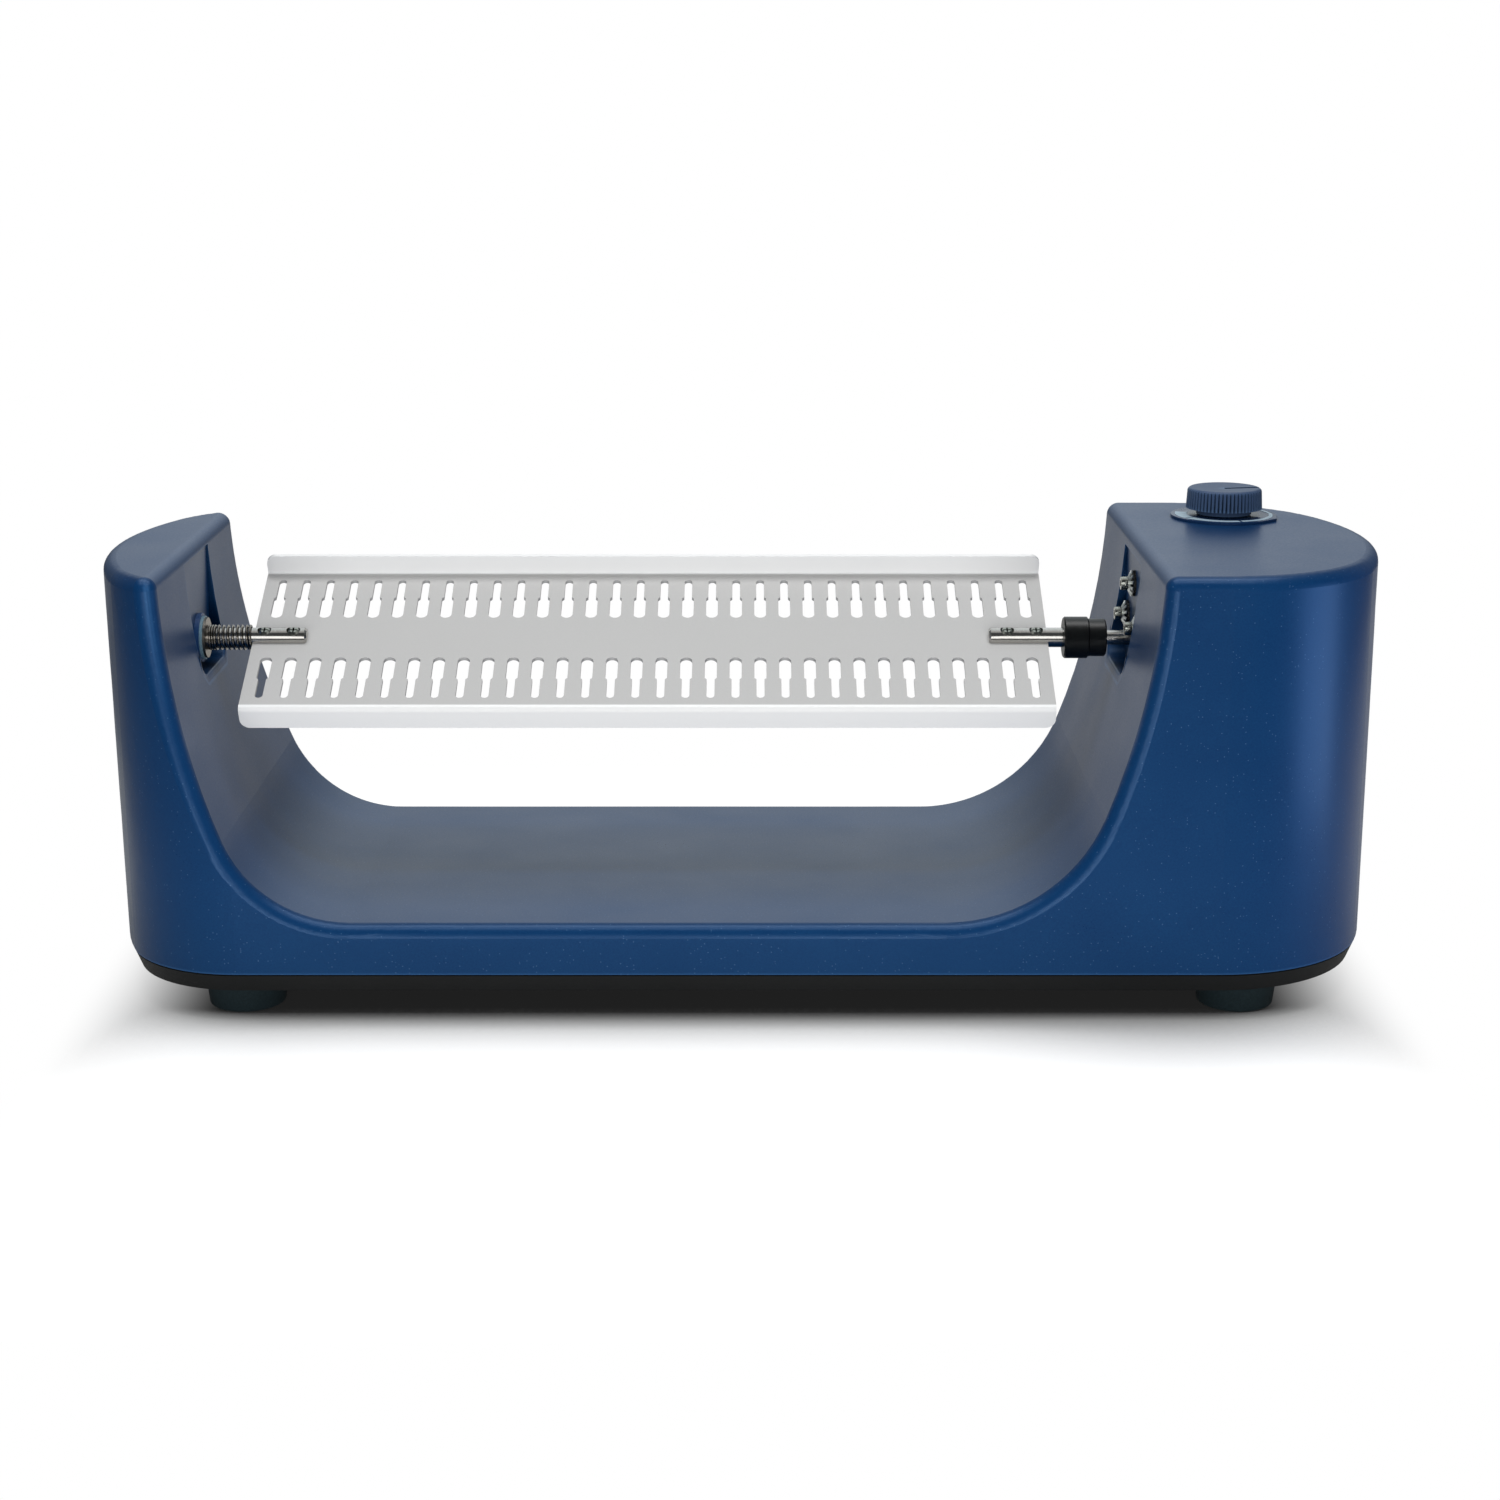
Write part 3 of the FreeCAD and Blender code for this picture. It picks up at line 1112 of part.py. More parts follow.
def gearMotor():
    body = newBody("gearbox", x="drive_seat + seat_backing", z=MOTOR_CENTRE)
    case = circle(sketchOn(body, "gearbox_outline", "YZ"), "0", "0", "gearbox_radius")
    feature(body, "Pad", "gearbox_pad", case, "gearbox_length")
    boss = circle(sketchOn(body, "gearbox_boss", "YZ"), "0", "-gearbox_offset", "gearbox_boss_radius")
    feature(body, "Pad", "gearbox_boss_pad", boss, "seat_backing - gearbox_boss_recess", Reversed=True)
    bore = circle(sketchOn(body, "gearbox_bore", "YZ", "motor_shaft_bury"), "0", "-gearbox_offset",
                  "motor_shaft_radius + running_fit")
    feature(body, "Pocket", "gearbox_bore_cut", bore, "motor_shaft_bury + 2 * casing_wall")
    taps = circle(sketchOn(body, "gearbox_tap", "YZ", "motor_screw_length - casing_wall"),
                  "0", "motor_screw_circle", "motor_screw_radius")
    tap = feature(body, "Pocket", "gearbox_tap_cut", taps, "motor_screw_length")
    polar(body, "gearbox_taps", [tap], "X", "4")
    named("gearbox", body)

    can = newBody("motor_can", x="drive_seat + seat_backing + gearbox_length", z=MOTOR_CENTRE)
    outline = profile(sketchOn(can, "motor_outline", "XZ"), [
        ("0", "0"), ("motor_length + motor_boss_length", "0"),
        ("motor_length + motor_boss_length", "motor_boss_radius"),
        ("motor_length", "motor_boss_radius"),
        ("motor_length", "motor_radius - motor_edge"),
        ("motor_length - motor_edge", "motor_radius"),
        ("0", "motor_radius")],
        {4: ("motor_length - motor_edge", "motor_radius - motor_edge", 1)})
    spin(can, "Revolution", "motor_turned", outline, "X")
    named("motor_can", can)

    shaft = rotorBody("motor_shaft")
    bar = circle(sketchOn(shaft, "motor_shaft_outline", "YZ", "motor_shaft_start"), "0", "0",
                 "motor_shaft_radius")
    feature(shaft, "Pad", "motor_shaft_pad", bar,
            "drive_seat + seat_backing + motor_shaft_bury - motor_shaft_start")
    flat = rectangle(sketchOn(shaft, "motor_flat", "XZ"), "motor_shaft_start - overshoot",
                     "motor_shaft_flat_end", "-2 * motor_shaft_radius", "-motor_shaft_flat")
    feature(shaft, "Pocket", "motor_flat_cut", flat, "4 * motor_shaft_radius", SideType="Symmetric")
    named("motor_shaft", shaft)


def motorFasteners():
    under = "flat_washer + lock_washer"
    top = "-(%s) - motor_screw_head_height" % under
    patterns = {}
    screw = newBody("motor_screw_pattern")
    head = circle(sketchOn(screw, "cap_head", "YZ", "-(%s)" % under), "0", "0", "motor_screw_head")
    feature(screw, "Pad", "cap_head_pad", head, "motor_screw_head_height", Reversed=True)
    shank = circle(sketchOn(screw, "cap_shank", "YZ", "-(%s)" % under), "0", "0",
                   "motor_screw_radius - thread_clearance")
    feature(screw, "Pad", "cap_shank_pad", shank, "motor_screw_length")
    key = hexagon(sketchOn(screw, "cap_key", "YZ", top), "motor_screw_socket")
    feature(screw, "Pocket", "cap_key_cut", key, "motor_screw_socket_depth", Reversed=True)
    patterns["motor_screws"] = screw
    for label, start, thickness, outer in (
            ("motor_flat_washers", "-flat_washer", "flat_washer", "flat_washer_radius"),
            ("motor_lock_washers", "-(%s)" % under, "lock_washer", "lock_washer_radius")):
        body = newBody(label + "_pattern")
        sketch = circle(sketchOn(body, label + "_outline", "YZ", start), "0", "0", outer)
        circle(sketch, "0", "0", "motor_screw_radius + washer_clearance")
        feature(body, "Pad", label + "_pad", sketch, thickness)
        patterns[label] = body
    for label, original in patterns.items():
        named(label, copies(label, original, [("drive_seat", y, z) for y, z in MOTOR_SCREWS]),
              len(MOTOR_SCREWS))


def speedKnob():
    dial = newBody("scale_dial", x="knob_reach", y="knob_side_reach", z="casing_top")
    plate = circle(sketchOn(dial, "dial_outline", "XY"), "0", "0", "dial_radius")
    circle(plate, "0", "0", "pot_bushing_radius + fixed_fit")
    feature(dial, "Pad", "dial_pad", plate, "dial_thickness")
    tab = profile(sketchOn(dial, "dial_tab_outline", "XY"), [
        ("dial_radius - dial_tab", "-dial_tab"), ("dial_radius + dial_tab", "0"),
        ("dial_radius - dial_tab", "dial_tab")])
    feature(dial, "Pad", "dial_tab_pad", tab, "dial_thickness")
    named("scale_dial", dial)

    knob = newBody("speed_knob", x="knob_reach", y="knob_side_reach", z="casing_top")
    bottom = "(dial_thickness + knob_gap)"
    outline = profile(sketchOn(knob, "knob_outline", "XZ"), [
        ("knob_hollow_radius", bottom),
        ("knob_neck_radius", bottom),
        ("knob_neck_radius", "knob_skirt"),
        ("knob_bottom_radius", "knob_skirt"),
        ("knob_top_radius", "knob_height - knob_edge"),
        ("knob_top_radius - knob_edge", "knob_height"),
        ("0", "knob_height - knob_dish"),
        ("0", "pot_shaft_top + part_gap"),
        ("pot_shaft_radius + close_fit", "pot_shaft_top + part_gap"),
        ("pot_shaft_radius + close_fit", "knob_hollow"),
        ("knob_hollow_radius", "knob_hollow")],
        {4: ("knob_top_radius - knob_edge", "knob_height - knob_edge", 1)})
    spin(knob, "Revolution", "knob_turned", outline, "Z")
    groove = profile(sketchOn(knob, "rib_groove", "XY", "knob_skirt - part_gap"), [
        ("knob_top_radius - knob_rib_depth", "0"),
        ("knob_bottom_radius + part_gap", "-knob_rib_mouth / 2"),
        ("knob_bottom_radius + part_gap", "knob_rib_mouth / 2")])
    ribs = feature(knob, "Pocket", "rib_groove_cut", groove, "knob_height", Reversed=True)
    polar(knob, "ribs", [ribs], "Z", "knob_rib_count")
    slot = rectangle(sketchOn(knob, "pointer_slot", "XY", "knob_height - knob_slot_depth"),
                     "0", "knob_bottom_radius + overshoot", "-knob_slot_width / 2", "knob_slot_width / 2")
    feature(knob, "Pocket", "pointer_cut", slot, "knob_height", Reversed=True)
    named("speed_knob", knob)

    def onPanel(label):
        return newBody(label, x="knob_reach", y="knob_side_reach", z="casing_top")

    pot = onPanel("potentiometer")
    case = circle(sketchOn(pot, "pot_case", "XY", "-casing_wall"), "0", "0", "pot_body_radius")
    feature(pot, "Pad", "pot_case_pad", case, "pot_body", Reversed=True)
    bushing = circle(sketchOn(pot, "pot_bushing_outline", "XY", "-casing_wall"), "0", "0",
                     "pot_bushing_radius")
    feature(pot, "Pad", "pot_bushing_pad", bushing, "casing_wall + pot_bushing")
    bore = circle(sketchOn(pot, "pot_bore", "XY", "-casing_wall"), "0", "0",
                  "pot_shaft_radius + running_fit")
    feature(pot, "Pocket", "pot_bore_cut", bore, "2 * casing_wall + pot_bushing", Reversed=True)
    named("potentiometer", pot)
    shaft = onPanel("pot_shaft")
    bar = circle(sketchOn(shaft, "pot_shaft_outline", "XY", "-casing_wall"), "0", "0", "pot_shaft_radius")
    feature(shaft, "Pad", "pot_shaft_pad", bar, "casing_wall + pot_shaft_top")
    named("pot_shaft", shaft)
    nut = onPanel("pot_nut")
    nutSketch = hexagon(sketchOn(nut, "pot_nut_outline", "XY", "dial_thickness"), "pot_nut_flats")
    circle(nutSketch, "0", "0", "pot_bushing_radius + thread_clearance")
    feature(nut, "Pad", "pot_nut_pad", nutSketch, "pot_nut")
    named("pot_nut", nut)


def powerSwitch():
    seat = "casing_length / 2 - switch_seat"
    body = newBody("switch_housing", x=seat, z="switch_line")
    bezel = rectangle(sketchOn(body, "bezel_outline", "YZ"),
                      "-switch_bezel_width / 2", "switch_bezel_width / 2",
                      "-switch_bezel_height / 2", "switch_bezel_height / 2")
    feature(body, "Pad", "bezel_pad", bezel, "switch_bezel")
    box = rectangle(sketchOn(body, "switch_box", "YZ"), "-switch_body_width / 2", "switch_body_width / 2",
                    "-switch_body_height / 2", "switch_body_height / 2")
    feature(body, "Pad", "switch_box_pad", box, "switch_body", Reversed=True)
    mouth = rectangle(sketchOn(body, "switch_mouth", "YZ", "switch_bezel"),
                      "-rocker_width / 2 - rocker_clearance", "rocker_width / 2 + rocker_clearance",
                      "-rocker_height / 2 - rocker_clearance", "rocker_height / 2 + rocker_clearance")
    feature(body, "Pocket", "switch_mouth_cut", mouth, "switch_bezel + rocker_thickness + rocker_clearance")
    named("switch_housing", body)

    rocker = newBody("switch_rocker", x=seat, z="switch_line", axis=Y_AXIS, angle=size("rocker_angle"))
    bind(rocker, Placement__Rotation__Angle="rocker_angle")
    half = "rocker_height / 2"
    outline = profile(sketchOn(rocker, "rocker_outline", "XZ"), [
        ("rocker_dip", "0"),
        ("rocker_lip", half + " - rocker_clearance"),
        ("rocker_dip", half),
        ("-rocker_flank", half + " - rocker_clearance * 2"),
        ("-rocker_keel", "0"),
        ("-rocker_flank", "-" + half + " + rocker_clearance * 2"),
        ("rocker_dip", "-" + half),
        ("rocker_lip", "-" + half + " + rocker_clearance")])
    feature(rocker, "Pad", "rocker_pad", outline, "rocker_width", SideType="Symmetric")
    named("switch_rocker", rocker)


def powerInlet():
    body = newBody("power_inlet", x="inlet_reach", y="inlet_seat", z="inlet_line")
    flange = rectangle(sketchOn(body, "inlet_flange_outline", "XZ"), "-inlet_flange_width / 2",
                       "inlet_flange_width / 2", "-inlet_flange_height / 2", "inlet_flange_height / 2")
    feature(body, "Pad", "inlet_flange_pad", flange, "inlet_flange", Reversed=True)
    box = rectangle(sketchOn(body, "inlet_box", "XZ"), "-inlet_body_width / 2", "inlet_body_width / 2",
                    "-inlet_body_height / 2", "inlet_body_height / 2")
    feature(body, "Pad", "inlet_box_pad", box, "inlet_body")
    wide, tall = "inlet_mouth_width / 2", "inlet_mouth_height / 2"
    mouth = profile(sketchOn(body, "inlet_mouth_outline", "XZ", "-inlet_flange"), [
        ("-" + wide, "-" + tall), (wide, "-" + tall), (wide, tall + " - inlet_corner"),
        (wide + " - inlet_corner", tall), ("-%s + inlet_corner" % wide, tall),
        ("-" + wide, tall + " - inlet_corner")])
    feature(body, "Pocket", "inlet_mouth_cut", mouth, "inlet_mouth", Reversed=True)
    ways = sketchOn(body, "inlet_screw_ways", "XZ")
    for sign in ("", "-"):
        circle(ways, sign + "inlet_screw_spacing / 2", "0", "inlet_screw_radius + screw_clearance / 2")
    feature(body, "Pocket", "inlet_screw_ways_cut", ways, "4 * inlet_flange", SideType="Symmetric")
    named("power_inlet", body)

    contact = newBody("inlet_pin_pattern", y="inlet_seat")
    blade = rectangle(sketchOn(contact, "blade", "XZ", "inlet_mouth - inlet_flange"),
                      "-inlet_pin_width / 2", "inlet_pin_width / 2",
                      "-inlet_pin_height / 2", "inlet_pin_height / 2")
    feature(contact, "Pad", "blade_pad", blade, "inlet_mouth - inlet_pin_back", Reversed=True)
    spots = [("inlet_reach - inlet_pin_spacing", "inlet_line - inlet_pin_drop"),
             ("inlet_reach", "inlet_line + inlet_pin_drop"),
             ("inlet_reach + inlet_pin_spacing", "inlet_line - inlet_pin_drop")]
    named("inlet_pins", copies("inlet_pins", contact, [(x, "inlet_seat", z) for x, z in spots]), len(spots))
    screw = screwBody("inlet_screw", "inlet_screw_head", "inlet_screw_head_height",
                      "inlet_screw_radius - thread_clearance", "inlet_screw_length",
                      "inlet_screw_head_height / 2")
    seats = [("inlet_reach %s inlet_screw_spacing / 2" % sign, "inlet_seat + inlet_flange", "inlet_line")
             for sign in "-+"]
    named("inlet_screws", copies("inlet_screws", screw, seats, X_AXIS, 90), len(seats))


def controlBoard():
    top = "tray_bottom + tray_floor + standoff_height"
    sheetPart = block("board_sheet", "board_length", "board_width", "board_thickness",
                      "board_reach - board_length / 2", "-board_forward - board_width / 2", top)
    holes = [rod("board_hole_%d" % (i + 1), "board_screw_radius + screw_clearance", "3 * board_thickness",
                 x, y, top + " - board_thickness") for i, (x, y) in enumerate(BOARD_CORNERS)]
    named("control_board", cut("control_board", sheetPart, holes))
    deck = top + " + board_thickness"
    parts = []
    for name in ("heat_sink", "terminal_block", "relay"):
        parts.append(block(name, name + "_length", name + "_width", name + "_height",
                           "board_reach + %s_along" % name, "-board_forward + %s_across" % name, deck))
    for name in ("large_capacitor", "small_capacitor"):
        parts.append(rod(name, name + "_radius", name + "_height",
                         "board_reach + %s_along" % name, "-board_forward + %s_across" % name, deck))
    group = doc.addObject("Part::Compound", "board_components")
    group.Links = parts
    named("board_components", group, len(parts))
    screw = screwBody("board_screw", "board_screw_head", "board_screw_head_height",
                      "board_screw_radius - thread_clearance", "board_screw_grip",
                      "board_screw_head_height / 2")
    seats = [(x, y, deck) for x, y in BOARD_CORNERS]
    named("board_screws", copies("board_screws", screw, seats, X_AXIS, 180), len(seats))


def checkDocument():
    for item in doc.Objects:
        if {"Invalid", "Error"} & set(item.State):
            raise RuntimeError("%s failed: %s" % (item.Name, item.State))
        if item.TypeId == "PartDesign::Pocket":
            before, after = item.BaseFeature.Shape.Volume, item.Shape.Volume
            if before - after < NEAR:
                raise RuntimeError("%s cuts nothing" % item.Name)
    for piece, solids in pieces:
        if piece.Shape.isNull() or not piece.Shape.isValid():
            raise RuntimeError("%s has no valid shape" % piece.Label)
        if len(piece.Shape.Solids) != solids:
            raise RuntimeError("%s has %d solids" % (piece.Label, len(piece.Shape.Solids)))


fillSheet()
casingShell()
baseTray()
feet()
baseFasteners()
tubePlate()
named("tail_shaft", plateShaft("tail_shaft", "-tail_shaft_end", TAIL_EDGE,
                               "(%s + tail_overlap)" % TAIL_EDGE, TAIL_SCREWS))
driveShaft = plateShaft("drive_shaft", "drive_shaft_end", DRIVE_EDGE,
                        "(%s - drive_overlap)" % DRIVE_EDGE, DRIVE_SCREWS)
driveShaftSlot(driveShaft)
named("drive_shaft", driveShaft)
plateFasteners()
releaseSpring()
tailBush()
driveCoupling()
gearMotor()
motorFasteners()
speedKnob()
powerSwitch()
powerInlet()
controlBoard()
doc.recompute()
checkDocument()

os.makedirs("parts", exist_ok=True)
for piece, solids in pieces:
    piece.Shape.exportStep(os.path.join("parts", piece.Label + ".step"))
    print("%-22s %2d solids  %10.1f mm3" % (piece.Label, len(piece.Shape.Solids), piece.Shape.Volume))
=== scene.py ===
import bpy
import bmesh
import json
import math
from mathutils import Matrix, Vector

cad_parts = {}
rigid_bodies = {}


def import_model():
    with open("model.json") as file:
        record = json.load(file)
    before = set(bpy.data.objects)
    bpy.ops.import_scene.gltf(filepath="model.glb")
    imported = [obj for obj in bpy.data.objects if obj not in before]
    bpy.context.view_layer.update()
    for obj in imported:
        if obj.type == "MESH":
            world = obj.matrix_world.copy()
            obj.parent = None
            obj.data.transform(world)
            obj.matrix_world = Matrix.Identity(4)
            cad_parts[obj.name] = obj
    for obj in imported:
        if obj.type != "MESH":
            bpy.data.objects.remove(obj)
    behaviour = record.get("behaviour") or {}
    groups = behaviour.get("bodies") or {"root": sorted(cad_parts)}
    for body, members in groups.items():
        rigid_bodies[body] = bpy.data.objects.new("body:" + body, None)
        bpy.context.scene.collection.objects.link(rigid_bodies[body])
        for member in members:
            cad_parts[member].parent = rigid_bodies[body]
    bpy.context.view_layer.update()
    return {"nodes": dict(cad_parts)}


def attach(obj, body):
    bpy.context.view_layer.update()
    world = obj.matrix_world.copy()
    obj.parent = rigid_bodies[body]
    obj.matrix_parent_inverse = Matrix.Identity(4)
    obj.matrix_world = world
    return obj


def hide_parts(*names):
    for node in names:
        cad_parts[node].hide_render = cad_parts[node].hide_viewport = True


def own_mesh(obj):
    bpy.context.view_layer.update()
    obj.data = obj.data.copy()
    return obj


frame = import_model()
nodes = frame["nodes"]
mm = 0.001


# Materials: one function turns hex colours to linear, one adds a node with its settings and links.

def colour(text):
    parts = [int(text[i:i + 2], 16) / 255 for i in (0, 2, 4)]
    return tuple(p / 12.92 if p <= 0.04045 else ((p + 0.055) / 1.055) ** 2.4 for p in parts) + (1.0,)


def addNode(tree, kind, settings, links=None):
    node = tree.nodes.new(kind)
    for name, value in settings.items():
        if isinstance(name, int) or name in node.inputs:
            node.inputs[name].default_value = value
        else:
            setattr(node, name, value)
    for name, source in (links or {}).items():
        tree.links.new(source, node.inputs[name])
    return node


def newMaterial(name):
    material = bpy.data.materials.new(name)
    material.use_nodes = True
    tree = material.node_tree
    tree.nodes.clear()
    place = addNode(tree, "ShaderNodeTexCoord", {}).outputs["Object"]
    return material, tree, place


def surface(tree, shader):
    addNode(tree, "ShaderNodeOutputMaterial", {}, {"Surface": shader.outputs[0]})


def grained(tree, place, grain, clouds, stretch):
    # Fine grain over broad clouds. stretch draws the grain out along an axis, as brushing and turning do.
    drawn = addNode(tree, "ShaderNodeMapping", {"Scale": stretch}, {"Vector": place}).outputs[0]
    fine = addNode(tree, "ShaderNodeTexNoise", {"Scale": 1 / (grain * mm), "Detail": 3.0, "Roughness": 0.6},
                   {"Vector": drawn}).outputs["Fac"]
    broad = addNode(tree, "ShaderNodeTexNoise", {"Scale": 1 / (clouds * mm), "Detail": 2.0},
                    {"Vector": place}).outputs["Fac"]
    part = addNode(tree, "ShaderNodeMath", {"operation": "MULTIPLY", 1: 1 - look["grainShare"]},
                   {0: broad}).outputs[0]
    both = addNode(tree, "ShaderNodeMath", {"operation": "MULTIPLY_ADD", 1: look["grainShare"]},
                   {0: fine, 2: part}).outputs[0]
    return fine, both


def toned(tree, both, base, shade):
    tone = addNode(tree, "ShaderNodeValToRGB", {}, {"Fac": both})
    low, high = tone.color_ramp.elements
    low.position, high.position = look["toneFrom"], look["toneTo"]
    low.color, high.color = colour(shade), colour(base)
    return tone.outputs[0]


def flangesLitPaler(tree, place, skin, litFlangeColour):
    # Painted light: the folded flanges get a paler colour than the flat face, standing in for the stronger
    # light that falls on them, so the tone changes at the bend.
    turned = {"vector_type": "TEXTURE", "Location": (0, 0, fold["line"] * mm),
              "Rotation": (math.radians(fold["tilt"]), 0, 0)}
    flat = addNode(tree, "ShaderNodeMapping", turned, {"Vector": place}).outputs[0]
    across = addNode(tree, "ShaderNodeSeparateXYZ", {}, {0: flat}).outputs["Y"]
    out = addNode(tree, "ShaderNodeMath", {"operation": "ABSOLUTE"}, {0: across}).outputs[0]
    bend = addNode(tree, "ShaderNodeMapRange", {"From Min": fold["from"] * mm, "From Max": fold["to"] * mm},
                   {"Value": out}).outputs[0]
    return addNode(tree, "ShaderNodeMix", {"data_type": "RGBA", 7: colour(litFlangeColour)},
                   {0: bend, 6: skin}).outputs[2]


def flecked(tree, place, skin, fleck):
    # Flakes in the paint: small dots, far apart, drawn coarser than real so that they show.
    dots = addNode(tree, "ShaderNodeTexVoronoi", {"Scale": 1 / (speck["spacing"] * mm)}, {"Vector": place})
    chance = addNode(tree, "ShaderNodeSeparateColor", {}, {0: dots.outputs["Color"]}).outputs[0]
    near = addNode(tree, "ShaderNodeMath", {"operation": "LESS_THAN", 1: speck["reach"]},
                   {0: dots.outputs["Distance"]}).outputs[0]
    some = addNode(tree, "ShaderNodeMath", {"operation": "LESS_THAN", 1: speck["share"]},
                   {0: chance}).outputs[0]
    dot = addNode(tree, "ShaderNodeMath", {"operation": "MULTIPLY", "use_clamp": True},
                  {0: near, 1: some}).outputs[0]
    faint = addNode(tree, "ShaderNodeMath", {"operation": "MULTIPLY", 1: speck["strength"]},
                    {0: dot}).outputs[0]
    return addNode(tree, "ShaderNodeMix", {"data_type": "RGBA", 7: colour(fleck)},
                   {0: faint, 6: skin}).outputs[2]


def paledEdges(tree, skin, paleEdge):
    # Edges are made paler: a probe cast inwards finds the surface near on both sides of an edge. On the
    # knob's ribs this is a painted highlight along the crests.
    probe = addNode(tree, "ShaderNodeAmbientOcclusion", {"Distance": edge["reach"] * mm, "inside": True,
                                                         "samples": look["probes"]}).outputs["AO"]
    paleShare = addNode(tree, "ShaderNodeMapRange",
                   {"From Min": edge["from"], "From Max": edge["to"],
                    "To Min": edge["strength"], "To Max": 0.0},
                   {"Value": probe}).outputs[0]
    return addNode(tree, "ShaderNodeMix", {"data_type": "RGBA", 7: colour(paleEdge)},
                   {0: paleShare, 6: skin}).outputs[2]


def shaded(tree, paintedShade):
    # Painted shade: corners and grooves are darkened in colour, as they see less of the light.
    reach, least = paintedShade
    openness = addNode(tree, "ShaderNodeAmbientOcclusion",
                       {"Distance": reach * mm, "samples": look["probes"]}).outputs["AO"]
    return addNode(tree, "ShaderNodeMapRange",
                   {"From Min": look["hollowFrom"], "From Max": look["hollowTo"],
                    "To Min": least, "To Max": 1.0},
                   {"Value": openness}).outputs[0]


def finish(name, base, shade, grain, bump, roughness, metallic=0.0, ior=1.45, spread=0.06,
           stretch=(1, 1, 1), clouds=40.0, specular=0.5, specks=None, litFlangeColour=None, tint="FFFFFF",
           paintedShade=None, paleEdge=None):
    # base and shade are the colours it varies between, grain its size in mm, bump its height in mm.
    material, tree, place = newMaterial(name)
    fine, both = grained(tree, place, grain, clouds, stretch)
    skin = toned(tree, both, base, shade)
    # Painted light: flanges paler than the face, for the light they catch.
    if litFlangeColour:
        skin = flangesLitPaler(tree, place, skin, litFlangeColour)
    if specks:
        skin = flecked(tree, place, skin, specks)
    # Paler edges: on the knob's ribs a painted highlight along the crests.
    if paleEdge:
        skin = paledEdges(tree, skin, paleEdge)
    # Painted shade: corners and grooves darkened in colour.
    if paintedShade:
        shadow = shaded(tree, paintedShade)
        skin = addNode(tree, "ShaderNodeMix", {"data_type": "RGBA", "blend_type": "MULTIPLY", 0: 1.0},
                       {6: skin, 7: shadow}).outputs[2]
    gloss = addNode(tree, "ShaderNodeMapRange",
                    {"From Min": look["glossFrom"], "From Max": look["glossTo"],
                     "To Min": max(roughness - spread, look["smoothest"]), "To Max": roughness + spread},
                    {"Value": both}).outputs[0]
    relief = addNode(tree, "ShaderNodeBump", {"Strength": look["relief"], "Distance": bump * mm},
                     {"Height": fine}).outputs[0]
    shader = addNode(tree, "ShaderNodeBsdfPrincipled",
                     {"Metallic": metallic, "IOR": ior, "Specular IOR Level": specular,
                      "Specular Tint": colour(tint)},
                     {"Base Color": skin, "Roughness": gloss, "Normal": relief})
    # The painted shade dims the sheen as well.
    if paintedShade:
        shadedSheen = addNode(tree, "ShaderNodeMath", {"operation": "MULTIPLY", 1: specular},
                        {0: shadow}).outputs[0]
        tree.links.new(shadedSheen, shader.inputs["Specular IOR Level"])
    surface(tree, shader)
    return material


